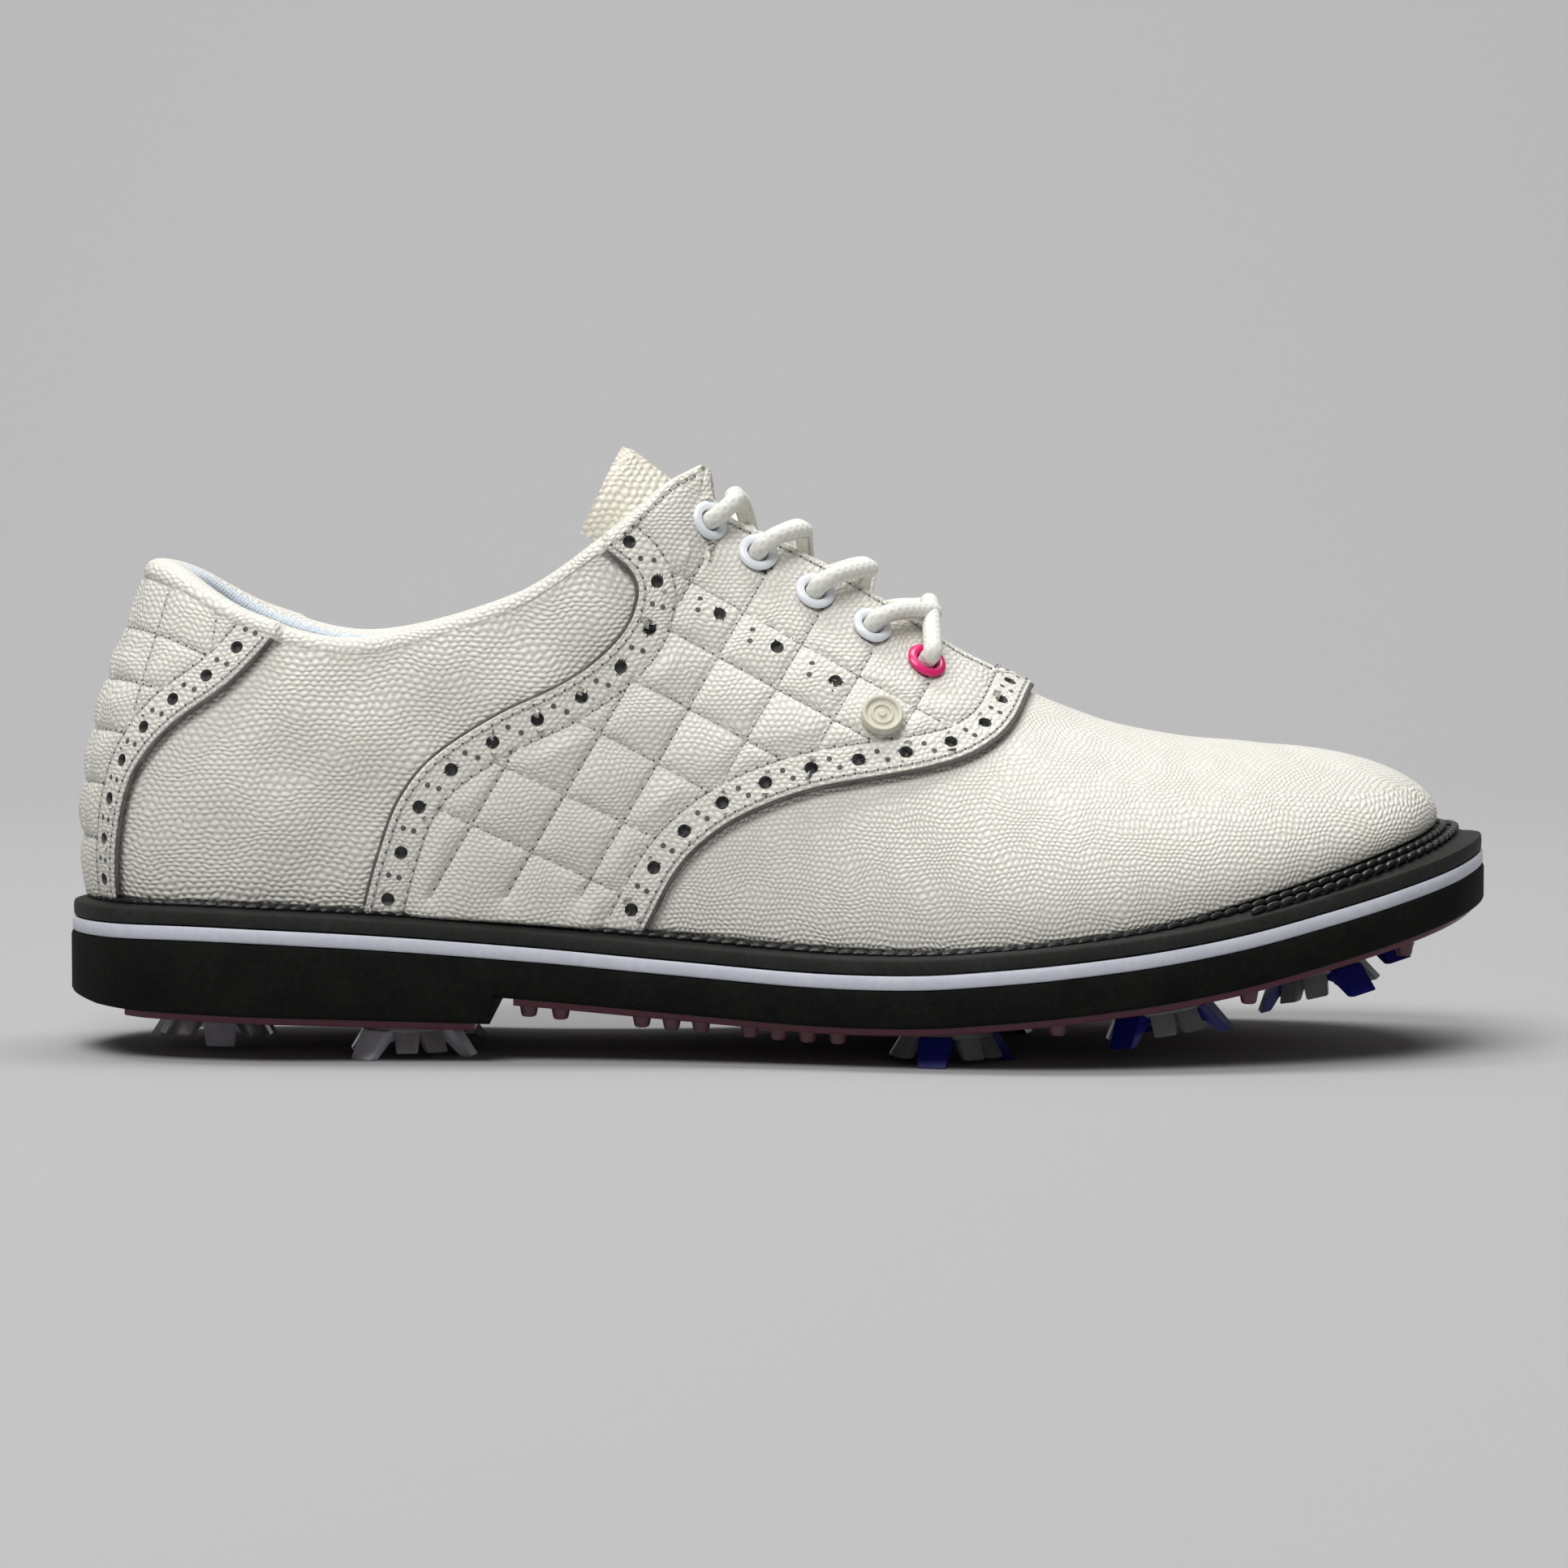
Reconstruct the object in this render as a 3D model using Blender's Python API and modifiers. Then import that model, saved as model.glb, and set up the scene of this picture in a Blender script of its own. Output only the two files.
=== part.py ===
"""A golf shoe for the right foot, with one object for each real piece.

+X points to the toe, +Y to the inner (medial) side and +Z up. The floor is Z = 0, under the cleats.
Sizes are in millimetres, and MM turns them into metres where a mesh is made.

The upper follows one smooth "last" surface. A ring of stations runs from the heel (row 0) along the
lateral side to the toe (row TOE) and back along the medial side. Each station holds one cubic curve
that rises from the feather line, where the upper meets the welt (v = 0), to the topline or the
ridge (v = 1). A place on the upper is (u, v), with u the fractional row, and each panel is a
four-sided patch in (u, v), lifted off the surface by its own offset and given its thickness.
"""

import math

import bmesh
import bpy
import numpy as np
from mathutils import Matrix, Vector

MM = 0.001
GAP = 0.35

# Station: sole edge (x, lateral y, medial y), inset of the feather line, height of the feather line
# over the sole line, bulge and rise of the first handle, top point (x, y, z), second handle (x, y, z).
STATIONS = [
    (-151.0, 0.0, 0.0, 6.5, 4.8, 6, 27, (-131.5, 0.0, 104.5), (-7, 0, -22)),
    (-139.5, 26.5, 26.5, 6.0, 4.8, 6, 27, (-125.0, 15.0, 102.0), (-4, 5, -20)),
    (-114.0, 37.0, 37.0, 6.0, 4.8, 6, 25, (-109.0, 25.5, 93.5), (0, 6, -18)),
    (-88.0, 37.5, 37.0, 6.0, 4.9, 5, 22, (-87.0, 29.5, 89.0), (0, 5, -17)),
    (-64.0, 37.3, 35.5, 6.0, 5.0, 5, 24, (-57.0, 29.5, 97.0), (-2, 6, -20)),
    (-48.0, 37.5, 33.5, 6.0, 5.1, 4, 27, (-37.0, 25.5, 109.3), (-3, 7, -22)),
    (-33.0, 38.5, 33.0, 6.0, 5.2, 3, 31, (-21.5, 15.0, 121.3), (-2, 10, -13)),
    (-18.0, 40.5, 34.0, 6.0, 5.2, 3, 33, (-9.0, 0.0, 123.5), (-3, 17, -10)),
    (4.0, 45.0, 38.5, 6.0, 4.9, 3, 33, (14.0, 0.0, 107.0), (-3, 20, -10)),
    (32.0, 52.0, 47.0, 6.0, 4.3, 3, 26, (44.0, 0.0, 81.5), (-3, 25, -4)),
    (58.0, 55.2, 53.5, 6.0, 4.3, 3, 19, (66.0, 0.0, 70.8), (-2, 29, 0)),
    (84.0, 52.5, 55.2, 6.0, 5.2, 3, 16, (84.0, 0.0, 66.6), (0, 29, 0)),
    (108.0, 46.5, 52.0, 6.5, 6.9, 3, 12, (97.0, 0.0, 65.3), (5, 26, 0)),
    (128.5, 37.0, 44.5, 8.0, 7.9, 3, 9, (102.0, 0.0, 64.8), (11, 20, -1)),
    (143.5, 21.5, 30.5, 9.5, 8.4, 3, 8, (104.0, 0.0, 64.6), (19, 13, -1)),
    (151.0, -4.5, 4.5, 10.5, 8.4, 3, 7, (104.5, 0.0, 64.6), (24, 0, -1)),
]
TOE = len(STATIONS) - 1
LOOP = 2 * TOE

# The sole line is the top of the white stripe, as (x, z).
SOLE_LINE = [(-152, 28.1), (-125, 28.4), (-87, 26.8), (-53, 24.3), (-20, 21.5), (13, 19.5), (30, 19.7),
             (46, 21.0), (63, 22.8), (79, 24.9), (96, 28.0), (113, 32.1), (132, 37.0), (152, 42.5)]
WELT_EDGE = 3.6
STRIPE = 2.9
MIDSOLE_DROP = 10.9
HEEL_BREAST_X = -59.5
HEEL_BOTTOM = [(-151, 12.2), (-144, 11.0), (-134, 10.4), (-60, 8.3)]
OUTSOLE_T = 1.2
INNER_RING = 6.0
HEEL_SEAM = 0.05
LINING_SEAM = 0.55
LINING_CORNER = 0.2

# Layers of the upper, as the outer face's offset from the last and the thickness.
OVERLAY = (2.1, 1.3)
LEATHER = (0.0, 1.6)
STIFFENER = (-2.1, 0.8)
PAD = (-2.1, 4.0)
REAR_LINING = (-1.95, 0.9)
VAMP_LINING = (-3.25, 0.9)
STIFFENER_SWELL = 1.3
COLLAR_SWELL = 3.3

# Side-view outlines on the lateral side, from the feather line up, as (x, z).
SADDLE_REAR = [(-86, 32), (-82.5, 44), (-78, 55.3), (-70, 64.5), (-57, 72.7), (-43.5, 79.3),
               (-33.5, 87.6), (-30, 94.3), (-30.2, 100.2), (-36.5, 109.2)]
SADDLE_FRONT = [(-28, 27), (-21.5, 39.4), (-13, 47.9), (0, 54.5), (17, 58.5), (32, 61), (42.4, 64.5),
                (48.9, 69.8), (53, 75.8)]
VAMP_REAR = [(-38, 28), (-31, 40), (-21, 49.5), (-8, 56.5), (9, 61), (25, 63.8), (36, 67.5),
             (44, 72.5), (51.2, 77.5)]
HEEL_COVER_FRONT = [(-137.5, 33.5), (-137, 46.7), (-134, 58.7), (-126.3, 68.9), (-116, 76.5),
                    (-109.5, 82.4), (-104, 89.5)]
EYELETS = [(-16.1, 111.3), (-5.0, 104.1), (6.9, 95.9), (18.6, 88.6), (29.9, 81.0)]
BADGE = (21.0, 70.3)

RIM_START = 6.35
RIM_END = 9.22
RIM_HALF = [(6.35, 12.5), (6.7, 11.0), (7.2, 10.2), (8.2, 9.2), (8.8, 7.4), (9.08, 4.8), (9.22, 0.6)]

# Tongue, from the base to the tip: centre line (x, z), then how steeply and how roundly the section
# falls away to each side, and its half width.
TONGUE = [(66, 63.5, 0.05, 0.014, 20), (52, 68.3, 0.12, 0.0145, 23), (38, 75.7, 0.25, 0.018, 24),
          (22, 86.1, 0.25, 0.028, 20), (6, 97.0, 0.5, 0.042, 18), (-10, 107.5, 1.1, 0.025, 12.5),
          (-21, 119.5, 0.5, 0.045, 14), (-33, 128.3, 0.05, 0.032, 19)]
TONGUE_T = 4.5
TONGUE_SLOPE_COLUMNS = 8

LACE_R = 1.95
LONG_STRETCH = 11.0
CROSSING = {"lateral": 2.4, "medial": -2.6}
EYELET_R = 4.3
BARREL_R = 3.0
BORE_R = 2.35
HOLE_R = 3.5

# Cleat: name, x, y, turn of its first long leg, True where it stands on the floor, forefoot or heel.
CLEATS = [
    ("heel_rear", -120.0, -2.0, 190, False, "heel"),
    ("heel_lateral", -78.0, -18.0, 290, True, "heel"),
    ("heel_medial", -78.0, 18.0, 70, True, "heel"),
    ("waist_lateral", 35.0, -31.0, 195, True, "forefoot"),
    ("waist_medial", 41.0, 27.0, 165, True, "forefoot"),
    ("ball_lateral", 79.0, -34.0, 195, False, "forefoot"),
    ("ball_medial", 85.0, 36.0, 165, False, "forefoot"),
    ("toe_lateral", 113.0, -22.0, 270, False, "forefoot"),
    ("toe_medial", 125.0, 17.0, 30, False, "forefoot"),
]
POCKET_R = 9.2
FLANGE_R = 9.8
STEM_R = 5.0
LONG_LEG_R = 14.4
SHORT_LEG_R = 12.0
SHORT_LEG_LIFT = 1.4

NUB_ROWS = [-52, -45.5, -29, -23, -17, -7, -1.2, 4.8, 11, 57, 98, 134]
NUB_EDGE = 5.5


def smooth_loop(table, u):
    """Catmull-Rom values of a closed table at the fractional rows u."""
    u = np.asarray(u, float)
    row = np.floor(u).astype(int)
    f = (u - row)[..., None]
    a, b, c, d = (table[(row + k) % len(table)] for k in (-1, 0, 1, 2))
    return b + f / 2 * (c - a + f * (2 * a - 5 * b + 4 * c - d + f * (3 * (b - c) + d - a)))


def smooth_line(points, x):
    """Height at x of the smooth line through points (x, height)."""
    xs, zs = np.array(points, float).T
    slope = np.gradient(zs, xs)
    i = np.clip(np.searchsorted(xs, x) - 1, 0, len(xs) - 2)
    h = xs[i + 1] - xs[i]
    t = (x - xs[i]) / h
    rise = zs[i + 1] - zs[i]
    return zs[i] + t * (h * slope[i] + t * (3 * rise - h * (2 * slope[i] + slope[i + 1])
                        + t * (h * (slope[i] + slope[i + 1]) - 2 * rise)))


def straight_line(points, x):
    xs, zs = np.array(points, float).T
    return np.interp(x, xs, zs)


def loop_rows():
    """(side, station) for each row of the closed loop: lateral out, medial back."""
    return [(-1, s) for s in STATIONS] + [(1, s) for s in STATIONS[TOE - 1:0:-1]]


def build_tables():
    """The sole edge with its outward normal, inset and lift, and the last's four control points."""
    rows = loop_rows()
    edge = np.array([(s[0], -s[1] if side < 0 else s[2]) for side, s in rows])
    along = np.roll(edge, -1, 0) - np.roll(edge, 1, 0)
    out = np.stack([-along[:, 1], along[:, 0]], 1)
    out /= -np.linalg.norm(out, axis=1)[:, None]
    inset = np.array([s[3] for _, s in rows])
    lift = np.array([s[4] for _, s in rows])
    foot = edge - out * inset[:, None]
    foot = np.column_stack([foot, smooth_line(SOLE_LINE, foot[:, 0]) + lift])
    out3 = np.column_stack([out, np.zeros(len(out))])
    bulge = np.array([s[5] for _, s in rows])[:, None]
    rise = np.array([s[6] for _, s in rows])[:, None]
    top = np.array([(s[7][0], side * s[7][1], s[7][2]) for side, s in rows])
    handle = np.array([(s[8][0], side * s[8][1], s[8][2]) for side, s in rows])
    last = np.column_stack([foot, foot + out3 * bulge + rise * [0, 0, 1], top + handle, top])
    return np.column_stack([edge, out, inset, lift]), last


EDGE, LAST = build_tables()


def last_point(u, v):
    """The last's surface at (u, v)."""
    c = smooth_loop(LAST, u)
    v = np.asarray(v, float)[..., None]
    w = 1 - v
    return w**3 * c[..., :3] + 3 * w**2 * v * c[..., 3:6] + 3 * w * v**2 * c[..., 6:9] + v**3 * c[..., 9:]


def last_normal(u, v):
    """The outward unit normal at (u, v), from small steps on the surface."""
    step = 0.004
    du = last_point(u + step, v) - last_point(u - step, v)
    dv = last_point(u, v + step) - last_point(u, v - step)
    n = np.cross(du, dv)
    return n / np.linalg.norm(n, axis=-1)[..., None]


def on_last(u, v, offset=0.0):
    return last_point(u, v) + last_normal(u, v) * offset


def locate(points):
    """(u, v) on the lateral half for each side-view point (x, z)."""
    us, vs = np.meshgrid(np.linspace(0, TOE, 421), np.linspace(0, 1, 161), indexing="ij")
    grid = last_point(us, vs)[..., [0, 2]]
    found = []
    for point in np.array(points, float):
        near = np.argmin(((grid - point) ** 2).sum(-1))
        uv = np.array([us.flat[near], vs.flat[near]])
        for _ in range(6):
            here = last_point(*uv)[[0, 2]]
            step = 0.002
            slopes = np.column_stack([(last_point(uv[0] + step, uv[1])[[0, 2]] - here) / step,
                                      (last_point(uv[0], uv[1] + step)[[0, 2]] - here) / step])
            uv = uv + 0.7 * np.clip(np.linalg.lstsq(slopes, point - here, rcond=None)[0], -0.1, 0.1)
            uv = np.clip(uv, [0, 0], [TOE, 1])
        found.append(uv)
    return np.array(found)


def rim_v(u):
    """How high the throat's rim lies at row u: where the surface is RIM_HALF from the middle."""
    vs = np.linspace(0.5, 1, 101)
    half = straight_line(RIM_HALF, u)
    y = np.abs(last_point(np.full(101, u), vs)[:, 1])
    return float(np.interp(-half, -y, vs))


def mirrored(path):
    """The same path on the medial side."""
    return [(LOOP - u, v) for u, v in path]


def spaced(path, count):
    """A (u, v) path resampled to count points at even distances on the surface."""
    path = np.array(path, float)
    ends = np.arange(len(path))
    fine = np.linspace(0, len(path) - 1, 40 * len(path))
    fine_path = np.column_stack([np.interp(fine, ends, path[:, k]) for k in (0, 1)])
    steps = np.linalg.norm(np.diff(last_point(*fine_path.T), axis=0), axis=1)
    run = np.concatenate([[0], np.cumsum(steps)])
    at = np.linspace(0, run[-1], count)
    return np.column_stack([np.interp(at, run, fine_path[:, k]) for k in (0, 1)])


def patch(bottom, top, left, right, columns, rows):
    """The (u, v) grid of a four-sided patch, blended between its edges."""
    bottom, top = spaced(bottom, columns + 1), spaced(top, columns + 1)
    left, right = spaced(left, rows + 1), spaced(right, rows + 1)
    s = np.linspace(0, 1, columns + 1)[:, None, None]
    t = np.linspace(0, 1, rows + 1)[None, :, None]
    across = (1 - t) * bottom[:, None] + t * top[:, None]
    along = (1 - s) * left[None] + s * right[None]
    corners = ((1 - s) * (1 - t) * bottom[0] + s * (1 - t) * bottom[-1]
               + (1 - s) * t * top[0] + s * t * top[-1])
    return across + along - corners


def clear_scene():
    for obj in list(bpy.data.objects):
        bpy.data.objects.remove(obj)
    for name in ("golf_shoe", "cutters"):
        bpy.context.scene.collection.children.link(bpy.data.collections.new(name))


def material(name, color, roughness, metallic=0.0):
    """The material of that name, made the first time that it is asked for."""
    found = bpy.data.materials.get(name)
    if found:
        return found
    made = bpy.data.materials.new(name)
    made.use_nodes = True
    shader = made.node_tree.nodes["Principled BSDF"]
    shader.inputs["Base Color"].default_value = (*color, 1)
    shader.inputs["Roughness"].default_value = roughness
    shader.inputs["Metallic"].default_value = metallic
    return made


def finish_of(name):
    finishes = {
        "white_leather": ((0.80, 0.79, 0.74), 0.45),
        "tongue_leather": ((0.80, 0.77, 0.68), 0.45),
        "lining_fabric": ((0.78, 0.84, 0.88), 0.8),
        "foam": ((0.85, 0.85, 0.82), 0.9),
        "stiffener_sheet": ((0.62, 0.55, 0.42), 0.7),
        "white_plastic": ((0.88, 0.90, 0.92), 0.3),
        "pink_plastic": ((0.83, 0.05, 0.30), 0.3),
        "lace_cotton": ((0.84, 0.83, 0.78), 0.8),
        "badge_rubber": ((0.74, 0.70, 0.60), 0.5),
        "welt_rubber": ((0.04, 0.04, 0.04), 0.6),
        "stripe_rubber": ((0.60, 0.62, 0.68), 0.5),
        "midsole_rubber": ((0.012, 0.012, 0.010), 0.7),
        "burgundy_tpu": ((0.10, 0.012, 0.035), 0.25),
        "board": ((0.50, 0.40, 0.27), 0.8),
        "cork": ((0.45, 0.30, 0.17), 0.9),
        "steel": ((0.55, 0.55, 0.56), 0.35, 1.0),
        "footbed_foam": ((0.70, 0.72, 0.74), 0.8),
        "receptacle_nylon": ((0.10, 0.10, 0.11), 0.4),
        "clear_tpu": ((0.62, 0.60, 0.64), 0.2),
        "blue_tpu": ((0.010, 0.014, 0.19), 0.3),
    }
    return material(name, *finishes[name])


def add_object(name, mesh, finish, hidden=False):
    """A new object. Hidden ones are cutters and other helpers."""
    obj = bpy.data.objects.new(name, mesh)
    bpy.data.collections["cutters" if hidden else "golf_shoe"].objects.link(obj)
    if hidden:
        obj.hide_render = True
        obj.display_type = "WIRE"
    else:
        mesh.materials.clear()
        mesh.materials.append(finish_of(finish))
    return obj


def mesh_from(bm, name, smooth=True):
    """The mesh of a bmesh in millimetres, turned into metres."""
    bmesh.ops.scale(bm, vec=(MM, MM, MM), verts=bm.verts)
    mesh = bpy.data.meshes.new(name)
    bm.to_mesh(mesh)
    bm.free()
    if smooth:
        mesh.shade_smooth()
        mesh.set_sharp_from_angle(angle=math.radians(40))
    return mesh


def grid_mesh(bm, points):
    """Adds a grid of points as triangles, facing out on a last patch and cut along the short diagonals."""
    verts = [[bm.verts.new(p) for p in column] for column in points]
    for a, b in zip(verts, verts[1:]):
        for j in range(len(a) - 1):
            quad = (a[j], b[j], b[j + 1], a[j + 1])
            if (quad[0].co - quad[2].co).length > (quad[1].co - quad[3].co).length:
                quad = quad[1:] + quad[:1]
            bm.faces.new((quad[0], quad[1], quad[2]))
            bm.faces.new((quad[0], quad[2], quad[3]))


def drop_thin_faces(bm, distance=0.02):
    bmesh.ops.remove_doubles(bm, verts=bm.verts, dist=distance)
    bmesh.ops.dissolve_degenerate(bm, dist=distance / 2, edges=bm.edges)


def solidify(obj, thickness):
    modifier = obj.modifiers.new("thickness", "SOLIDIFY")
    modifier.thickness = thickness * MM
    modifier.offset = -1
    modifier.use_even_offset = False


def boolean(obj, other, operation):
    modifier = obj.modifiers.new(other.name, "BOOLEAN")
    modifier.operation = operation
    modifier.object = other


def panel(name, uv, layer, finish, swell=None, half=None):
    """A panel of the upper: a patch of the last, offset, with the layer's thickness.

    With half = "lateral" or "medial", only that half of a patch round the heel is kept.
    """
    offset, thickness = layer
    bm = bmesh.new()
    points = last_point(uv[..., 0], uv[..., 1])
    shifts = np.full(uv.shape[:2], float(offset)) - (swell(uv) if swell else 0)
    grid_mesh(bm, points)
    layer_shift = bm.verts.layers.float.new("shift")
    layer_column = bm.verts.layers.float.new("column")
    for vert, shift, column in zip(bm.verts, shifts.ravel(), np.indices(shifts.shape)[0].ravel()):
        vert[layer_shift] = shift
        vert[layer_column] = column
    drop_thin_faces(bm)
    bm.normal_update()
    moves = [(vert, vert.normal * vert[layer_shift]) for vert in bm.verts]
    for vert, move in moves:
        vert.co += move
    if half:
        side, middle = (1 if half == "lateral" else -1), len(uv) // 2
        left_out = [v for v in bm.verts if side * (v[layer_column] - middle) < 0]
        bmesh.ops.delete(bm, geom=left_out, context="VERTS")
        for vert in bm.verts:
            if vert[layer_column] == middle:
                vert.co.y -= side * LINING_SEAM
    obj = add_object(name, mesh_from(bm, name), finish)
    solidify(obj, thickness)
    return obj


def topline(count, start=0.0, stop=RIM_END):
    """(u, v) along the topline and down the throat's rim."""
    return [(u, rim_v(u) if u > RIM_START else 1.0) for u in np.linspace(start, stop, count)]


def level(u_start, u_stop, v=0.0, count=24):
    return [(u, v) for u in np.linspace(u_start, u_stop, count)]


def quarter_grid(start):
    """The lateral quarter's patch, from row `start` near the heel's middle to the vamp seam."""
    front = locate(VAMP_REAR)
    front[0, 1] = 0.0
    front[:, 0] -= 0.02
    front[-1] = (RIM_END - 0.01, rim_v(RIM_END - 0.01))
    top = topline(60, start, RIM_END - 0.01)
    return patch(level(start, front[0][0]), top, [(start, 0.0), (start, 1.0)], front, 16, 7)


def other_side(uv):
    """The mirrored patch on the medial side, with its columns in the order that faces it outwards."""
    return np.stack([LOOP - uv[..., 0], uv[..., 1]], -1)[::-1]


def make_quarters():
    uv = quarter_grid(HEEL_SEAM)
    for side, grid in (("lateral", uv), ("medial", other_side(uv))):
        quarter = panel(f"quarter_{side}", grid, LEATHER, "white_leather")
        boolean(quarter, bpy.data.objects[f"eyelet_holes_{side}"], "DIFFERENCE")


def make_saddles():
    rear, front = locate(SADDLE_REAR), locate(SADDLE_FRONT)
    rear[0, 1] = front[0, 1] = 0.0
    front[-1] = (front[-1][0], 0.992)
    rim = topline(50, rear[-1][0]) + [tuple(front[-1])]
    rear[-1] = rim[0]
    uv = patch(level(rear[0][0], front[0][0]), rim, rear, front, 12, 8)
    for side, grid in (("lateral", uv), ("medial", other_side(uv))):
        saddle = panel(f"saddle_{side}", grid, OVERLAY, "white_leather")
        boolean(saddle, bpy.data.objects[f"eyelet_holes_{side}"], "DIFFERENCE")


def around_heel(path):
    """Lateral path values as rows before the heel, so that a patch can run through row 0."""
    return [(-u, v) for u, v in path]


def make_heel_cover():
    front = locate(HEEL_COVER_FRONT)
    front[0, 1] = 0.0
    front[-1, 1] = 1.0
    bottom = level(-front[0][0], front[0][0])
    top = level(-front[-1][0], front[-1][0], 1.0)
    uv = patch(bottom, top, around_heel(front), front, 12, 7)
    panel("heel_cover", uv, OVERLAY, "white_leather")


def make_vamp():
    rear = locate(VAMP_REAR)
    rear[0, 1] = 0.0
    rear[-1, 1] = 1.0
    bottom = level(rear[0][0], LOOP - rear[0][0])
    top = level(rear[-1][0], LOOP - rear[-1][0], 1.0)
    uv = patch(bottom, top, rear, mirrored(rear), 26, 7)
    panel("vamp", uv, LEATHER, "white_leather")
    panel("vamp_lining", trimmed(uv[1:-1], 0.08, 0), VAMP_LINING, "lining_fabric")
    panel("toe_puff", uv[8:-8], STIFFENER, "stiffener_sheet")


def collar_swell(uv):
    """How far the stiffener, and more so the padding over it, push the lining in round the heel."""
    def ease(x):
        x = np.clip(x, 0, 1)
        return x * x * (3 - 2 * x)
    padded = COLLAR_SWELL * ease((uv[..., 1] - 0.53) / 0.1)
    return (STIFFENER_SWELL + padded) * ease((5.9 - np.abs(uv[..., 0])) / 0.5)


def trimmed(uv, low, high):
    """The patch with its bottom and top rows drawn in by these shares of a row."""
    made = uv.copy()
    made[:, 0] += low * (uv[:, 1] - uv[:, 0])
    made[:, -1] -= high * (uv[:, -1] - uv[:, -2])
    return made


def make_rear_lining():
    """The lining's halves with the heel stiffener and the collar padding, all on one grid round the heel."""
    front = quarter_grid(0.0)
    left = np.stack([-front[..., 0], front[..., 1]], -1)[::-1]
    uv = np.concatenate([left[:-1], front])
    for corner, beside in ((0, 1), (-1, -2)):
        uv[corner, -1] += LINING_CORNER * (uv[beside, -1] - uv[corner, -1])
    panel("heel_stiffener", trimmed(uv[9:-9, :5], 0.2, 0), STIFFENER, "stiffener_sheet")
    panel("collar_padding", trimmed(uv[8:-8, 5:], 0, 0.2), PAD, "foam")
    for name in ("lateral", "medial"):
        lining = panel(f"quarter_lining_{name}", uv, REAR_LINING, "lining_fabric", collar_swell, name)
        boolean(lining, bpy.data.objects[f"eyelet_holes_{name}"], "DIFFERENCE")


def frame_at(point, axis):
    """A placing matrix in metres, with +Z along axis at point."""
    turned = Vector(axis).normalized().to_track_quat("Z", "Y").to_matrix().to_4x4()
    return Matrix.Translation(Vector(point) * MM) @ turned


def turned_mesh(name, profile, steps):
    """A solid turned about Z from a profile of (radius, height) points, outer side downwards."""
    bm = bmesh.new()
    verts = [bm.verts.new((r, 0, z)) for r, z in profile]
    closed = profile[0][0] > 0
    for a, b in zip(verts, verts[1:] + (verts[:1] if closed else [])):
        bm.edges.new((a, b))
    obj = bpy.data.objects.new(name, mesh_from(bm, name, smooth=False))
    bpy.context.scene.collection.objects.link(obj)
    screw = obj.modifiers.new("turn", "SCREW")
    screw.steps = screw.render_steps = steps
    screw.use_merge_vertices = True
    screw.merge_threshold = 0.00001
    return bake(obj, name)


def bake(obj, name):
    """The evaluated mesh of an object, which is then removed."""
    graph = bpy.context.evaluated_depsgraph_get()
    mesh = bpy.data.meshes.new_from_object(obj.evaluated_get(graph))
    mesh.name = name
    bpy.data.objects.remove(obj)
    mesh.shade_smooth()
    mesh.set_sharp_from_angle(angle=math.radians(40))
    return mesh


def placed(name, mesh, matrix, finish, hidden=False):
    obj = add_object(name, mesh, finish, hidden)
    obj.matrix_world = matrix
    return obj


def cylinder_into(bm, matrix, radius, low, high, sides=12):
    """Adds a cylinder along the matrix's Z. The matrix is in millimetres."""
    middle = matrix @ Matrix.Translation((0, 0, (low + high) / 2))
    bmesh.ops.create_cone(bm, cap_ends=True, segments=sides, radius1=radius, radius2=radius,
                          depth=high - low, matrix=middle)


def in_mm(matrix):
    made = matrix.copy()
    made.translation = made.translation / MM
    return made


def eyelet_frames():
    """Placing matrices of the eyelets by side, on the saddle's outer face."""
    spots = locate(EYELETS)
    frames = {}
    for side, rows in (("lateral", spots), ("medial", np.array(mirrored(spots)))):
        points = on_last(rows[:, 0], rows[:, 1], OVERLAY[0])
        normals = last_normal(rows[:, 0], rows[:, 1])
        frames[side] = [frame_at(p, n) for p, n in zip(points, normals)]
    return frames


def make_eyelet_holes(frames):
    for side, matrices in frames.items():
        bm = bmesh.new()
        for matrix in matrices:
            cylinder_into(bm, in_mm(matrix), HOLE_R, -9, 3)
        add_object(f"eyelet_holes_{side}", mesh_from(bm, f"holes_{side}", False), None, hidden=True)


def make_eyelets(frames):
    profile = [(BORE_R, 1.5), (EYELET_R - 0.4, 1.5), (EYELET_R, 1.0), (BARREL_R, 1.0), (BARREL_R, -5.1),
               (BORE_R, -5.1)]
    mesh = turned_mesh("eyelet", profile, 10)
    for side, matrices in frames.items():
        for i, matrix in enumerate(matrices, 1):
            finish = "pink_plastic" if i == len(matrices) else "white_plastic"
            placed(f"eyelet_{side}_{i}", mesh.copy(), matrix, finish)


def rim_spot(side, u, offset):
    """A point over (positive offset) or under the throat's rim."""
    row = u if side == "lateral" else LOOP - u
    return on_last(row, rim_v(u) + (0.03 if offset > 0 else 0.04), offset)


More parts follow.
